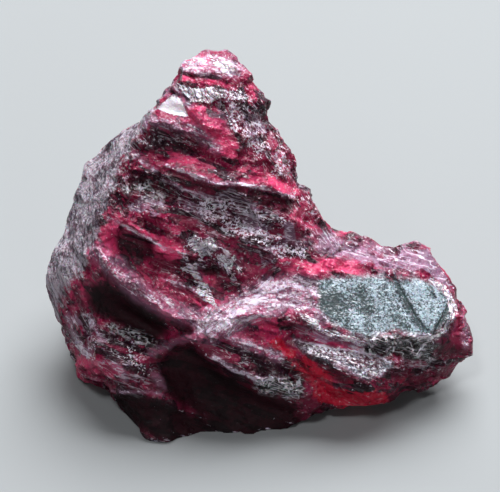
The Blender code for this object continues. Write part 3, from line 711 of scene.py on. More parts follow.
RUNS = (
    Run(((-12.0, -0.3), (-9.9, -2.6), (-6.6, -4.8), (-3.5, -5.6)), 1.4, -36.0),
    Run(((-3.0, -5.8), (-0.4, -4.2), (0.8, -2.4)), 1.1, 34.0),
    Run(((-1.0, -4.6), (2.8, -3.8)), 1.0, 4.0),
    Run(((-6.0, 11.4), (-2.0, 11.4)), 0.8, -52.0),
    Run(((-8.2, 9.1), (-3.2, 7.2)), 0.8, -24.0),
    Run(((-1.4, 10.4), (2.0, 5.4), (5.0, 1.0)), 1.5, -58.0),
    Run(((2.6, -4.6), (5.0, -6.2), (10.0, -6.9)), 0.7, -24.0),
    Run(((2.6, -7.2), (8.8, -9.2)), 1.2, -24.0),
    Run(((14.0, -3.4), (14.4, -4.6), (14.1, -5.8)), 0.6, -80.0),
    Run(((-4.7, 0.3), (-3.6, 0.0)), 0.8, 18.0),
    Run(((-3.2, -0.3), (-1.9, -1.5)), 0.8, -48.0),
    Run(((13.0, -6.8), (10.6, -6.7)), 0.5, 10.0),
    Run(((-12.6, 5.0), (-14.0, 0.0), (-15.0, -4.0)), 3.2, -58.0),
    Run(((-9.6, 8.6), (-12.0, 5.0)), 1.6, -52.0),
)


@dataclass(frozen=True)
class OldSkin:
    """The dull skin of the left flank, left of a line up the showing side. Lengths in mm."""

    edge: Line = (
        (-14.6, -4.3), (-13.5, -2.3), (-12.0, -0.1), (-11.5, 2.2),
        (-10.3, 5.6), (-8.6, 8.9), (-7.0, 11.0), (-6.4, 12.6),
    )
    border: tuple[float, float] = (-0.8, 0.3)  # the skin ends between these, right of the edge
    foot: tuple[float, float] = (-7.0, -5.0)  # and between these, up the showing side
    hidden_edge: tuple[float, float] = (-5.0, -3.0)  # out, where the hidden sides' patches begin
    hidden_patches: Swell = Swell(6.0, 51.0)

    def mask(self, points: np.ndarray, roughness: np.ndarray) -> np.ndarray:
        """1 on the skin, fading into the broken side across a ragged border."""
        corners = np.array(self.edge)
        reach = np.interp(points[:, 1], corners[:, 1], corners[:, 0])
        flank = 1.0 - ramp(points[:, 0] - reach + 0.7 * roughness, *self.border)
        above = ramp(points[:, 1] + 0.5 * roughness, *self.foot)
        hidden = 1.0 - ramp(points[:, 2] + 1.2 * roughness, *self.hidden_edge)
        patches = ramp(self.hidden_patches.at(points) + 0.2 * roughness, -0.15, 0.15)
        return np.maximum(flank * above * (1.0 - hidden), hidden * patches)


@dataclass
class Garnet:
    """The stone: its fine surface, its marks and its finish. Lengths in mm."""

    name: str = "garnet_stone"
    voxel: float = 0.125
    kept_triangles: int = 196_000
    wander: float = 0.7  # how far the steps wander from straight
    wandering: Swell = Swell(2.6, 12.0)
    steps: tuple[Steps, ...] = (Steps(pitch=0.95, rise=0.055, patches=Swell(2.2, 3.0)),)
    chips: tuple[Chips, ...] = (
        Chips(spacing=2.1, stretch=1.9, tilt=0.14, offset=0.06, depth=0.16, seed=5),
        Chips(spacing=1.05, stretch=1.8, tilt=0.20, offset=0.04, depth=0.10, seed=9),
        Chips(spacing=0.6, stretch=1.6, tilt=0.24, offset=0.02, depth=0.05, seed=13),
    )
    grain: float = 0.012  # height of the grain, and of the old skin's swells
    graining: Swell = Swell(0.45, 31.0)
    skin_swell: float = 0.04
    swelling: Swell = Swell(1.0, 37.0)
    cut_edges: Swell = Swell(0.9, 4.0)  # what makes the edges of cuts and marks ragged
    mark_edges: Swell = Swell(0.8, 4.0)
    mark_burrs: Swell = Swell(0.35, 14.0)
    face_calm: float = 0.92  # the share of the small breaks that each kind of surface lacks
    skin_calm: float = 0.55
    smooth_calm: float = 0.85
    base_edge: tuple[float, float] = (0.02, 0.5)  # the breaks start between these heights
    crest: float = 0.05  # a full crest stands out this far
    crest_rounds: int = 6  # how widely the surface is averaged to find the crests
    underside: float = 0.65  # how deep in shadow the stone's underside is
    sharp: float = math.radians(32.0)
    old_skin: OldSkin = OldSkin()
    drifts: tuple[Swell, Swell] = (Swell(3.4, 61.0), Swell(4.2, 67.0))  # of the hidden sides' marks

    def build(self, solid: bpy.types.Object, box: Box) -> bpy.types.Object:
        """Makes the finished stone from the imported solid.

        Args:
            solid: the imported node's object, which stays as it is.
            box: the lowest and highest corner that the stone keeps inside.

        Returns:
            The new stone.
        """
        stone = self.fine_copy(solid)
        skin = Skin(stone.data)
        LOG.info("fine surface: %d vertices", len(stone.data.vertices))
        self.break_surface(skin)
        skin.keep_inside(box)
        self.thin(stone)
        skin = Skin(stone.data)
        skin.keep_inside(box)
        self.mark_surface(skin)
        stone.data.materials.clear()
        stone.data.materials.append(GarnetFinish().make())
        stone.data.shade_smooth()
        stone.data.set_sharp_from_angle(angle=self.sharp)
        return stone

    def fine_copy(self, solid: bpy.types.Object) -> bpy.types.Object:
        """A copy of the solid with its corners joined and a fine, even surface."""
        sheet = bmesh.new()
        sheet.from_mesh(solid.data)
        bmesh.ops.remove_doubles(sheet, verts=sheet.verts, dist=1e-7)
        mesh = bpy.data.meshes.new(self.name)
        sheet.to_mesh(mesh)
        sheet.free()
        stone = bpy.data.objects.new(self.name, mesh)
        bpy.context.scene.collection.objects.link(stone)
        even = stone.modifiers.new("fine surface", "REMESH")
        even.mode = "VOXEL"
        even.voxel_size = self.voxel * MM
        self.settle(stone)
        return stone

    def settle(self, stone: bpy.types.Object) -> None:
        """Puts the result of the stone's modifiers into its mesh."""
        seen = stone.evaluated_get(bpy.context.evaluated_depsgraph_get())
        stone.data = bpy.data.meshes.new_from_object(seen)
        stone.modifiers.clear()

    def thin(self, stone: bpy.types.Object) -> None:
        """Takes triangles away where the surface is flat, which leaves the edges of the breaks."""
        faces = sum(len(face.vertices) - 2 for face in stone.data.polygons)
        fewer = stone.modifiers.new("fewer triangles", "DECIMATE")
        fewer.ratio = min(1.0, self.kept_triangles / faces)
        self.settle(stone)

    def break_surface(self, skin: Skin) -> None:
        """Cuts the steps, chips and grooves into the surface, and leaves the resting break flat."""
        points = skin.points()
        rough = self.cut_edges.at(points)
        front = ramp(points[:, 2], *SHOWING_EDGE)
        face = self.strongest(Mark.FACE, points, rough) * front
        old = self.old_skin.mask(points, rough)
        smooth = self.strongest(Mark.SMOOTH, points, rough) * front
        clear = ramp(skin.spots[:, 2] / MM, *self.base_edge)
        strength = (1.0 - self.face_calm * face) * (1.0 - self.skin_calm * old)
        strength = strength * (1.0 - self.smooth_calm * smooth) * clear
        along = points @ STEP_LEAN + self.wander * self.wandering.at(points)
        height = sum(family.height(points, along) for family in self.steps) * strength
        grain = self.grain * self.graining.at(points)
        swells = self.skin_swell * self.swelling.at(points) * old
        height += (grain + swells) * clear
        skin.move(skin.normals() * height[:, None])
        for chips in self.chips:
            break_into_chips(skin, chips, strength)
        for groove in GROOVES:
            cut = groove.cut(points, rough) * front
            skin.move(skin.normals() * -cut[:, None])

    def mark_surface(self, skin: Skin) -> None:
        """Stores the masks that the material reads."""
        points = skin.points()
        rough = self.mark_edges.at(points) + 0.5 * self.mark_burrs.at(points)
        front = ramp(points[:, 2] + 0.6 * rough, *SHOWING_EDGE)
        upward = skin.normals()[:, 2]
        crest = np.clip(skin.standing_out(self.crest_rounds) / self.crest, -1.0, 1.0)
        hidden = self.hidden_marks(points, upward)
        for mark in STROKES:
            values = self.strongest(mark, points, rough)
            # the parts that face down get painted shade
            if mark is Mark.PAINTED_SHADE:
                values = np.maximum(values, self.underside * ramp(-upward, -0.05, 0.45))
            values = values * front
            if mark in hidden:
                values = values + hidden[mark] * (1.0 - front)
            skin.mark(mark.value, values)
        skin.mark(Mark.OLD_SKIN.value, self.old_skin.mask(points, rough))
        skin.mark(Mark.CREST.value, 0.5 + 0.5 * crest)
        skin.mark_places(GRAIN_RUN, self.grain_run(points, rough))

    def hidden_marks(self, points: np.ndarray, upward: np.ndarray) -> dict[Mark, np.ndarray]:
        """The marks of the sides away from the showing side, which lie in wide drifts.

        Args:
            points: every vertex in the relief's frame, in mm.
            upward: how far each vertex faces up, from -1 to 1.

        Returns:
            One value for each vertex, by mark.
        """
        wide, other = (drift.at(points) for drift in self.drifts)
        # Frost's painted highlights grow on parts that face up; painted glow and painted shade on parts
        # that face down.
        return {
            Mark.FROST_AND_SHEEN: 0.7 * ramp(wide + 0.5 * upward, 0.3, 0.6),
            Mark.PAINTED_SPARKLE: 0.2 + 0.6 * ramp(other, 0.0, 0.3),
            Mark.HAZE: 0.9 * ramp(-other, 0.1, 0.4),
            Mark.WINDOW: ramp(other - wide, 0.15, 0.5),
            Mark.PAINTED_UNDERSIDE_GLOW: 0.8 * ramp(-upward, 0.1, 0.5),
            Mark.PAINTED_SHADE: 0.8 * ramp(-wide - 0.3 * upward, 0.25, 0.55),
            Mark.GLASSY: 0.8 * ramp(-wide + other, 0.55, 0.8),
            Mark.SMOOTH: 0.8 * ramp(-wide, 0.2, 0.5),
        }

    def grain_run(self, points: np.ndarray, rough: np.ndarray) -> np.ndarray:
        """Coordinates in mm that are drawn out along the grain, which runs with the steps or a Run."""
        leans = np.tile(STEP_LEAN, (len(points), 1))
        for run in RUNS:
            leans[run.covers(points, rough)] = run.lean()
        first = np.cross(leans, (0.0, 0.0, 1.0))
        first /= np.linalg.norm(first, axis=1)[:, None]
        second = np.cross(leans, first)
        rows = [(points * way).sum(axis=1) for way in (first, second, leans)]
        return np.stack(rows, axis=1) * GRAIN_STRETCH

    def strongest(self, mark: Mark, points: np.ndarray, rough: np.ndarray) -> np.ndarray:
        """The strongest of a mark's strokes at each point."""
        return np.max([stroke.mask(points, rough) for stroke in STROKES[mark]], axis=0)


# --------------------------------------------------------------------------- the finish


Shares = tuple[tuple[Mark, float], ...]


@dataclass(frozen=True)
class Value:
    """A number that changes over the surface; arithmetic on it adds Math nodes."""

    desk: "Desk"
    socket: Socket

    def __add__(self, other: "Value | float") -> "Value":
        """The two added."""
        return self.desk.sum("ADD", self, other)

    def __sub__(self, other: "Value | float") -> "Value":
        """This less the other."""
        return self.desk.sum("SUBTRACT", self, other)

    def __rsub__(self, other: float) -> "Value":
        """A plain number less this."""
        return self.desk.sum("SUBTRACT", other, self)

    def __mul__(self, other: "Value | float") -> "Value":
        """The product."""
        return self.desk.sum("MULTIPLY", self, other)

    def __or__(self, other: "Value | float") -> "Value":
        """Where either shows: the larger of the two."""
        return self.desk.sum("MAXIMUM", self, other)

    def __abs__(self) -> "Value":
        """This without its sign."""
        return self.desk.sum("ABSOLUTE", self, 0.0)

    def held(self) -> "Value":
        """This, held between 0 and 1 by the node that gives it."""
        self.socket.node.use_clamp = True
        return self


@dataclass(frozen=True)
class Desk:
    """A material's or a group's node tree, with a short call for each kind of node used here."""

    tree: bpy.types.NodeTree

    def node(self, kind: str, **inputs: object) -> bpy.types.Node:
        """Adds a node and sets or links its inputs.

        Args:
            kind: the node's type.
            inputs: values or sockets by input name, with _ for a space.

        Returns:
            The node.
        """
        made = self.tree.nodes.new(kind)
        for name, value in inputs.items():
            self.feed(made.inputs[name.replace("_", " ")], value)
        return made

    def feed(self, socket: Socket, value: object) -> None:
        """Links a socket to a value or to another socket, or sets it."""
        if isinstance(value, Value):
            value = value.socket
        if isinstance(value, bpy.types.NodeSocket):
            self.tree.links.new(value, socket)
        elif isinstance(value, tuple) and socket.type == "RGBA":
            socket.default_value = (*value, 1.0)
        else:
            socket.default_value = value

    def attribute(self, name: str) -> bpy.types.bpy_prop_collection:
        """The outputs that read an attribute of the surface."""
        made = self.node("ShaderNodeAttribute")
        made.attribute_name = name
        return made.outputs

    def worked(self, kind: str, work: str, *given: object) -> bpy.types.bpy_prop_collection:
        """The outputs of a node of this kind that does this work on what is given."""
        made = self.node(kind)
        made.operation = work
        for socket, value in zip(made.inputs, given):
            self.feed(socket, value)
        return made.outputs

    def sum(self, work: str, first: object, second: object) -> Value:
        """A sum on two numbers, named as the Math node names it."""
        return Value(self, self.worked("ShaderNodeMath", work, first, second)[0])

    def vector(self, work: str, first: object, second: object) -> bpy.types.bpy_prop_collection:
        """A sum on two vectors, named as the Vector Math node names it."""
        return self.worked("ShaderNodeVectorMath", work, first, second)

    def ramp(self, value: Value, low: Value | float, high: Value | float) -> Value:
        """Smooth ramp from 0 at low to 1 at high."""
        made = self.node("ShaderNodeMapRange", Value=value, From_Min=low, From_Max=high)
        made.interpolation_type = "SMOOTHSTEP"
        return Value(self, made.outputs["Result"])

    def mix(self, amount: Value, first: Socket | Point, second: Socket | Point) -> Socket:
        """A blend from the first colour to the second."""
        made = self.node("ShaderNodeMix")
        made.data_type = "RGBA"
        for place, value in ((0, amount), (6, first), (7, second)):
            self.feed(made.inputs[place], value)
        return made.outputs[2]

    def noise(self, space: Socket, size: float, detail: float, roughness: float = 0.6) -> Value:
        """Fractal noise with swells of a size in mm, about 0.5 in the middle."""
        made = self.node("ShaderNodeTexNoise", Vector=space, Scale=1.0 / size, Detail=detail)
        made.inputs["Roughness"].default_value = roughness
        return Value(self, made.outputs["Fac"])

    def threads(self, space: Socket, size: float, width: float) -> Value:
        """Thin wandering lines, where noise of a size in mm passes its middle."""
        away = abs(self.noise(space, size, detail=2.0) - 0.5)
        return 1.0 - self.ramp(away, 0.3 * width, width)

    def covered(self, amount: Value, pattern: Value, soft: float, full: float) -> Value:
        """Where a pattern passes a level that falls as amount grows, with a crisp ragged edge.

        Args:
            amount: how much is covered, from 0 to 1.
            pattern: noise, about 0.5 in the middle.
            soft: half the width of the edge, in the pattern's values.
            full: the level at an amount of 1; at 0.5 half is covered, and less as it grows.

        Returns:
            The cover, from 0 to 1.
        """
        bare = 0.80
        level = bare - amount * (bare - full)
        return self.ramp(pattern, level - soft, level + soft)


def make_facet_group() -> bpy.types.NodeTree:
    """A group that draws small flat breaks: a height that tilts each one, and its shade."""
    tree = bpy.data.node_groups.new("facets", "ShaderNodeTree")
    for name, kind in (("Space", "NodeSocketVector"), ("Size", "NodeSocketFloat")):
        tree.interface.new_socket(name, in_out="INPUT", socket_type=kind)
    for name in ("Height", "Shade"):
        tree.interface.new_socket(name, in_out="OUTPUT", socket_type="NodeSocketFloat")
    desk = Desk(tree)
    middle = (0.5, 0.5, 0.5)
    given = tree.nodes.new("NodeGroupInput").outputs
    scaled = desk.node("ShaderNodeVectorMath", Vector=given["Space"])
    scaled.operation = "SCALE"
    desk.feed(scaled.inputs["Scale"], desk.sum("DIVIDE", 1.0, given["Size"]))
    wobble = desk.node("ShaderNodeTexNoise", Vector=scaled.outputs[0], Scale=0.8, Detail=2.0)
    centred = desk.vector("SUBTRACT", wobble.outputs["Color"], middle)
    swung = desk.vector("MULTIPLY", centred[0], (1.5, 1.5, 1.5))
    bent = desk.vector("ADD", swung[0], scaled.outputs[0])[0]
    cells = desk.node("ShaderNodeTexVoronoi", Vector=bent, Scale=1.0).outputs
    away = desk.vector("SUBTRACT", bent, cells["Position"])
    lean = desk.vector("SUBTRACT", cells["Color"], middle)
    tilt = desk.vector("DOT_PRODUCT", away[0], lean[0])
    shade = desk.node("ShaderNodeSeparateColor", Color=cells["Color"])
    put = tree.nodes.new("NodeGroupOutput").inputs
    desk.feed(put["Height"], tilt["Value"])
    desk.feed(put["Shade"], shade.outputs["Red"])
    return tree


class Patterns:
    """The patterns that the finish is made of, on one desk.

    Plain patterns lie evenly in the stone, and drawn ones are drawn out along its grain.
    """

    def __init__(self, desk: Desk) -> None:
        """Draws the patterns on a desk."""
        self.desk = desk
        self.marks = {mark: Value(desk, desk.attribute(mark.value)["Fac"]) for mark in Mark}
        self.even_facet = desk.ramp(self.marks[Mark.PAINTED_GLARE], 1.0, 1.3)
        coords = desk.node("ShaderNodeTexCoord").outputs["Object"]
        scaled = desk.node("ShaderNodeMapping", Vector=coords)
        scaled.inputs["Scale"].default_value = (1.0 / MM,) * 3
        plain = scaled.outputs[0]
        drawn = desk.attribute(GRAIN_RUN)["Vector"]
        self.streaks = desk.noise(drawn, size=0.25, detail=4.0)
        self.flecks = desk.noise(plain, size=0.20, detail=3.0, roughness=0.65)
        self.grain = desk.noise(plain, size=0.12, detail=2.0)
        self.patches = desk.noise(plain, size=2.4, detail=4.0, roughness=0.55)
        self.hairs = desk.threads(drawn, size=0.8, width=0.022)
        self.veins = desk.threads(drawn, size=0.38, width=0.035)
        self.hatching = desk.threads(drawn, size=0.26, width=0.05)
        broken = desk.ramp(desk.noise(plain, size=0.7, detail=1.0), 0.44, 0.56)
        self.clumps = desk.ramp(desk.noise(plain, size=1.3, detail=2.0), 0.42, 0.56)
        self.curls = desk.threads(drawn, size=0.34, width=0.03) * broken
        self.squiggles = desk.threads(plain, size=0.85, width=0.065) * broken
        self.ripples = abs(desk.noise(plain, size=0.5, detail=1.0) - 0.5)
        group = make_facet_group()
        self.large_height, self.large_shade = self.facets(group, drawn, size=0.55)
        self.small_height, self.small_shade = self.facets(group, plain, size=0.28)

    def facets(self, group: bpy.types.NodeTree, space: Socket, size: float) -> tuple[Value, Value]:
        """The height and shade of small flat breaks of a size in mm."""
        made = self.desk.node("ShaderNodeGroup")
        made.node_tree = group
        self.desk.feed(made.inputs["Space"], space)
        self.desk.feed(made.inputs["Size"], size)
        return Value(self.desk, made.outputs["Height"]), Value(self.desk, made.outputs["Shade"])


@dataclass(frozen=True)
class FineRelief:
    """How high the fine relief stands, in mm."""

    large_facets: float = 0.20
    small_facets: float = 0.10
    ripples: float = 0.30
    ribs: float = 0.09
    flecks: float = 0.09
    grain: float = 0.03
    crumple: float = 0.6
    face_ripples: float = 0.12
    evened: float = 0.85  # the share that even breaks, the natural face and even facets lack


@dataclass(frozen=True)
class Covers:
    """How much each film, line, painted shade or painted highlight hides of what is under it, from 0 to
    1.
    """

    plum: float = 0.75
    under_plum: float = 0.5
    hollow_shade: float = 0.95
    rose_veil: float = 0.5
    shade_between_sparkles: float = 0.4
    painted_sparkles: float = 0.9
    face_shade: float = 0.35
    frost_and_sheen: float = 0.88
    shade_behind_glare: float = 0.3
    glassy_glint_lines: float = 0.9
    skin: float = 0.92


@dataclass(frozen=True)
class GarnetFinish:
    """Deep crimson garnet with frosted crests, an old skin and a natural face, and painted light and
    shade.
    """

    deep: Point = (0.032, 0.002, 0.012)
    crimson: Point = (0.31, 0.010, 0.062)
    # painted glow of light shining through
    window: Point = (0.80, 0.050, 0.175)
    # painted red glow of light leaving the underside
    underside_glow: Point = (0.58, 0.008, 0.040)
    # dark glass, and painted shade
    dark_glass_and_shade: Point = (0.006, 0.001, 0.002)
    plum: Point = (0.30, 0.175, 0.27)
    rose: Point = (0.60, 0.26, 0.43)
    # frost, and painted highlights and glints
    frost_and_sheen: Point = (0.86, 0.75, 0.88)
    # painted highlights on bright facets and glassy crumples
    glare_white: Point = (0.91, 0.85, 0.94)
    skin: Point = (0.52, 0.46, 0.53)
    skin_pits: Point = (0.07, 0.045, 0.065)
    # the natural face, with a painted reflection of the sky
    face_light: Point = (0.42, 0.51, 0.58)
    face_dark: Point = (0.04, 0.055, 0.06)
    ior: float = 1.76
    specular_level: float = 0.04
    coat_roughness: float = 0.10
    transmission: float = 0.12
    absorption: Point = (0.80, 0.02, 0.10)
    density: float = 320.0
    glow: float = 0.25
    glow_radius: Point = (1.0, 0.05, 0.12)
    glow_depth: float = 0.8 * MM
    clear_roughness: float = 0.30
    dulled: Shares = ((Mark.FACE, 0.30), (Mark.HAZE, 0.15), (Mark.PAINTED_SHADE, 0.35))
    unglossed: Shares = ((Mark.PAINTED_SHADE, 0.96), (Mark.SMOOTH, 0.9), (Mark.FACE, 0.4))
    covers: Covers = Covers()
    relief: FineRelief = FineRelief()

    def make(self) -> bpy.types.Material:
        """Builds the material."""
        material = bpy.data.materials.new("garnet")
        material.use_nodes = True
        desk = Desk(material.node_tree)
        shader = desk.tree.nodes["Principled BSDF"].inputs
        shader["IOR"].default_value = self.ior
        shader["Specular IOR Level"].default_value = self.specular_level
        shader["Coat IOR"].default_value = self.ior
        shader["Coat Roughness"].default_value = self.coat_roughness
        shader["Transmission Weight"].default_value = self.transmission
        shader["Subsurface Weight"].default_value = self.glow
        shader["Subsurface Radius"].default_value = self.glow_radius
        shader["Subsurface Scale"].default_value = self.glow_depth
        absorb = desk.node("ShaderNodeVolumeAbsorption", Color=self.absorption, Density=self.density)
        desk.feed(desk.tree.nodes["Material Output"].inputs["Volume"], absorb.outputs[0])
        drawn = Patterns(desk)
        frost_and_sheen_cover, crust = self.films(drawn)
        desk.feed(shader["Base Color"], self.colour(drawn, frost_and_sheen_cover, crust))
        desk.feed(shader["Roughness"], self.roughness(drawn, frost_and_sheen_cover, crust))
        desk.feed(shader["Coat Weight"], self.gloss(drawn, crust))
        bump = desk.node("ShaderNodeBump", Height=self.height(drawn), Strength=1.0, Distance=MM)
        desk.feed(shader["Normal"], bump.outputs["Normal"])
        desk.feed(shader["Coat Normal"], bump.outputs["Normal"])
        return material

    def films(self, drawn: Patterns) -> tuple[Value, Value]:
        """Where the frost with its painted highlights, and the old skin, lie."""
        desk, marks = drawn.desk, drawn.marks
        grit = drawn.streaks * 0.6 + drawn.flecks * 0.4
        # pale crests: partly wear, partly a painted highlight along the edges
        edges = desk.ramp(marks[Mark.CREST], 0.62, 0.95) * 0.5
        frost_and_sheen_cover = desk.covered(marks[Mark.FROST_AND_SHEEN] | edges, grit, soft=0.06, full=0.38)
        crust = desk.covered(marks[Mark.OLD_SKIN], grit, soft=0.16, full=0.28)
        return frost_and_sheen_cover * (1.0 - drawn.veins * 0.75), crust

    def colour(self, drawn: Patterns, frost_and_sheen_cover: Value, crust: Value) -> Socket:
        """The colour over the stone, from the crystal up to the films on it, with painted light and
        shade.
        """
        desk, marks, covers = drawn.desk, drawn.marks, self.covers
        colour = self.clear_stone(drawn)
        # a pink veil under the frost and its painted highlights
        colour = desk.mix(marks[Mark.FROST_AND_SHEEN] * covers.rose_veil, colour, self.rose)
        colour = self.scattered_light(drawn, colour)
        colour = desk.mix(marks[Mark.FACE], colour, self.natural_face(drawn))
        # the frost, with its painted highlights
        colour = desk.mix(frost_and_sheen_cover * covers.frost_and_sheen, colour, self.frost_and_sheen)
        colour = self.paint_facet_glare(drawn, colour)
        # painted glints: pale lines on the dark glassy crumples
        lines = (drawn.squiggles | drawn.veins * 0.6) * covers.glassy_glint_lines
        colour = desk.mix(marks[Mark.GLASSY], colour, desk.mix(lines, self.dark_glass_and_shade, self.glare_white))
        fibres = drawn.streaks * 0.45 + drawn.flecks * 0.2 + drawn.patches * 0.35
        fibres = desk.ramp(fibres, 0.42, 0.55) * (1.0 - drawn.veins * 0.6)
        return desk.mix(crust * covers.skin, colour, desk.mix(fibres, self.skin_pits, self.skin))

    def clear_stone(self, drawn: Patterns) -> Socket:
        """The crimson crystal under everything: painted glow of windows and underside, haze, painted
        shade.
        """
        desk, covers = drawn.desk, self.covers
        window, haze, deep, underside_glow = (
            drawn.marks[mark] for mark in (Mark.WINDOW, Mark.HAZE, Mark.PAINTED_SHADE, Mark.PAINTED_UNDERSIDE_GLOW)
        )
        tone = drawn.patches * 0.55 + drawn.large_shade * 0.30 + drawn.small_shade * 0.15
        colour = desk.mix(desk.ramp(tone, 0.37, 0.60), self.deep, self.crimson)
        # painted glow where light would shine through
        shining = (window * desk.ramp(tone + window, 0.7, 1.3)).held()
        colour = desk.mix(shining, colour, self.window)
        colour = desk.mix(haze * covers.under_plum, colour, self.deep)
        cloud = drawn.patches * 0.4 + drawn.flecks * 0.25 + drawn.large_shade * 0.35
        hazy = desk.covered(haze, cloud, soft=0.05, full=0.42)
        colour = desk.mix(hazy * covers.plum, colour, self.plum)
        # painted shade in the hollows and under the stone
        colour = desk.mix(deep * covers.hollow_shade, colour, self.dark_glass_and_shade)
        # painted red glow where light would leave the underside
        glowing = (underside_glow * desk.ramp(tone + underside_glow * 0.5, 0.72, 1.15)).held()
        return desk.mix(glowing, colour, self.underside_glow)

    def scattered_light(self, drawn: Patterns, colour: Socket) -> Socket:
        """Adds painted glints, the hairs, specks and curls of light of small broken edges, and painted
        shade.
        """
        desk, marks = drawn.desk, drawn.marks
        haze, painted_sparkle_mask = marks[Mark.HAZE], marks[Mark.PAINTED_SPARKLE]
        colour = desk.mix(drawn.hairs * (haze * 0.6), colour, self.frost_and_sheen)
        colour = desk.mix(painted_sparkle_mask * self.covers.shade_between_sparkles, colour, self.dark_glass_and_shade)
        grit = drawn.flecks * 0.8 + drawn.grain * 0.2
        clumped = painted_sparkle_mask * (drawn.clumps * 0.44 + 0.62)
        open_to_light = 1.0 - marks[Mark.PAINTED_SHADE] * 0.97
        painted_sparkles = desk.covered(clumped | 0.48, grit, soft=0.03, full=0.50) * open_to_light
        colour = desk.mix(painted_sparkles * self.covers.painted_sparkles, colour, self.frost_and_sheen)
        shown = ((painted_sparkle_mask | haze) * 0.6 + 0.10) * open_to_light * (1.0 - marks[Mark.SMOOTH] * 0.85)
        return desk.mix(drawn.curls * shown, colour, self.frost_and_sheen)

    def natural_face(self, drawn: Patterns) -> Socket:
        """The sugary grey-green of the grown face, with a painted reflection of the sky in it."""
        desk, shaded = drawn.desk, drawn.marks[Mark.FACE_SHADE]
        sugar = drawn.flecks * 0.4 + drawn.grain * 0.35 + drawn.patches * 0.25
        level = shaded * 0.07 + 0.43
        pale = desk.mix(shaded * self.covers.face_shade, self.face_light, self.face_dark)
        return desk.mix(desk.ramp(sugar, level, level + 0.13), self.face_dark, pale)

    def paint_facet_glare(self, drawn: Patterns, colour: Socket) -> Socket:
        """Adds bright facets as painted highlights: broken and hatched, and even where their mark is over
        1.
        """
        desk = drawn.desk
        shown = desk.sum("MINIMUM", drawn.marks[Mark.PAINTED_GLARE], 1.0)
        # painted shade behind the bright facets
        colour = desk.mix(shown * self.covers.shade_behind_glare, colour, self.dark_glass_and_shade)
        grit = drawn.streaks * 0.5 + drawn.flecks * 0.5
        bright = desk.covered(shown, grit, soft=0.05, full=0.36) * (1.0 - drawn.hatching * 0.95)
        return desk.mix(bright | drawn.even_facet, colour, self.glare_white)

    def roughness(self, drawn: Patterns, frost_and_sheen_cover: Value, crust: Value) -> Value:
        """The roughness over the stone: glossy breaks, and dull frost, skin and natural face."""
        dull = frost_and_sheen_cover * 0.30 | crust * 0.35
        for mark, share in self.dulled:
            dull = dull | drawn.marks[mark] * share
        return dull + self.clear_roughness

    def gloss(self, drawn: Patterns, crust: Value) -> Value:
        """The clear gloss over the stone: fresh glassy breaks have it, hollows and skin hardly."""
        fresh = (drawn.desk.ramp(drawn.flecks, 0.52, 0.62) | drawn.curls) * 0.85 + 0.05
        for mark, share in self.unglossed:
            fresh = fresh * (1.0 - drawn.marks[mark] * share)
        fresh = fresh * (1.0 - crust * 0.8)
        return (fresh | drawn.marks[Mark.GLASSY]).held()

    def height(self, drawn: Patterns) -> Value:
        """The fine relief in mm."""
        marks, relief = drawn.marks, self.relief
        even = marks[Mark.SMOOTH] | marks[Mark.FACE] | drawn.even_facet
        facets = drawn.large_height * relief.large_facets + drawn.small_height * relief.small_facets
        facets = facets + drawn.ripples * relief.ripples
        strands = (drawn.streaks - 0.5) * relief.ribs + (drawn.flecks - 0.5) * relief.flecks
        broken = (facets + strands) * (1.0 - even * relief.evened)
        crumple = marks[Mark.GLASSY] | marks[Mark.PAINTED_GLARE] * (1.0 - even)
        fine = (drawn.grain - 0.5) * relief.grain + drawn.ripples * crumple * relief.crumple
        return broken + (fine + drawn.ripples * marks[Mark.FACE] * relief.face_ripples)


# --------------------------------------------------------------------------- the studio


@dataclass(frozen=True)
class Lamp:
    """A soft square light that faces the stone. Lengths in metres, power in watts."""

    name: str
    place: Point
    size: float
    power: float
    colour: Point = (0.97, 0.98, 1.0)


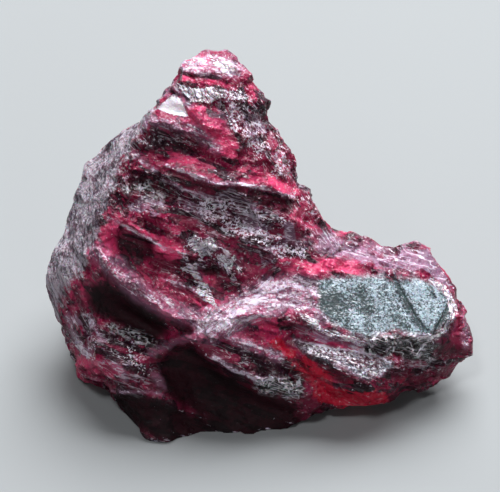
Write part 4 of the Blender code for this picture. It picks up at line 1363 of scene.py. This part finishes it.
@dataclass
class Studio:
    """The floor, the lights and the camera."""

    distance: float = 300.0 * MM
    frame_width: float = 37.3 * MM
    sensor_width: float = 36.0
    frame_pixels: tuple[int, int] = (500, 492)
    relief_origin_pixel: tuple[int, int] = (260, 246)
    lamps: tuple[Lamp, ...] = (
        Lamp("window", (0.08, 0.30, 0.42), 0.42, 7.3, (0.96, 0.98, 1.0)),
        Lamp("fill", (-0.10, -0.20, 0.52), 0.10, 0.9),
        Lamp("front", (0.10, -0.42, 0.16), 0.07, 0.22),
    )
    floor_half: float = 2.0
    floor_colour: Point = (0.27, 0.28, 0.285)
    floor_roughness: float = 0.8
    sky_colour: Point = (0.9, 0.95, 1.0)
    sky_strength: float = 0.055

    def origin(self) -> Vector:
        """The relief frame's origin in the row's frame, in metres."""
        return Vector((-RELIEF.across_centre, -RELIEF.depth_centre, -RELIEF.floor)) * MM

    def add(self, name: str, data: bpy.types.ID) -> bpy.types.Object:
        """Puts an object with this data in the scene."""
        placed = bpy.data.objects.new(name, data)
        bpy.context.scene.collection.objects.link(placed)
        return placed

    def add_camera(self) -> None:
        """A long lens square on to the showing side."""
        lens = bpy.data.cameras.new("camera")
        camera = self.add("camera", lens)
        camera.location = self.origin() + Vector(RELIEF.axes()[2]) * self.distance
        camera.rotation_euler = (math.pi / 2.0 - RELIEF.tilt, 0.0, 0.0)
        lens.sensor_width = self.sensor_width
        lens.lens = self.sensor_width * self.distance / self.frame_width
        width, height = self.frame_pixels
        lens.shift_x = (width / 2.0 - self.relief_origin_pixel[0]) / width
        lens.shift_y = (self.relief_origin_pixel[1] - height / 2.0) / width
        lens.clip_start = 10.0 * MM
        lens.clip_end = 5.0
        bpy.context.scene.camera = camera

    def add_lamp(self, lamp: Lamp) -> None:
        """Adds a lamp's light, turned to the stone."""
        light = bpy.data.lights.new(lamp.name, "AREA")
        light.size = lamp.size
        light.energy = lamp.power
        light.color = lamp.colour
        placed = self.add(lamp.name, light)
        placed.location = lamp.place
        facing = (self.origin() - Vector(lamp.place)).to_track_quat("-Z", "Y")
        placed.rotation_euler = facing.to_euler()

    def add_floor(self) -> None:
        """A plain pale floor."""
        sheet = bmesh.new()
        bmesh.ops.create_grid(sheet, x_segments=1, y_segments=1, size=self.floor_half)
        mesh = bpy.data.meshes.new("floor")
        sheet.to_mesh(mesh)
        sheet.free()
        paint = bpy.data.materials.new("floor")
        paint.use_nodes = True
        shader = paint.node_tree.nodes["Principled BSDF"].inputs
        shader["Base Color"].default_value = (*self.floor_colour, 1.0)
        shader["Roughness"].default_value = self.floor_roughness
        mesh.materials.append(paint)
        self.add("floor", mesh)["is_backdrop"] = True

    def add_sky(self) -> None:
        """A weak even light from all round."""
        world = bpy.data.worlds.new("studio")
        world.use_nodes = True
        sky = world.node_tree.nodes["Background"].inputs
        sky["Color"].default_value = (*self.sky_colour, 1.0)
        sky["Strength"].default_value = self.sky_strength
        bpy.context.scene.world = world

    def build(self) -> None:
        """Adds everything around the stone."""
        self.add_floor()
        for lamp in self.lamps:
            self.add_lamp(lamp)
        self.add_sky()
        bpy.context.scene.view_settings.view_transform = "Standard"
        self.add_camera()


def main() -> None:
    """Builds the stone and the studio."""
    logging.basicConfig(level=logging.INFO)
    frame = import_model()
    cad_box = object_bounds()
    Studio().build()
    stone = Garnet().build(frame["nodes"][NODE], cad_box)
    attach(stone, BODY)
    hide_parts(NODE)
    LOG.info("piece %s: %d faces", stone.name, len(stone.data.polygons))


if __name__ == "__main__":
    main()
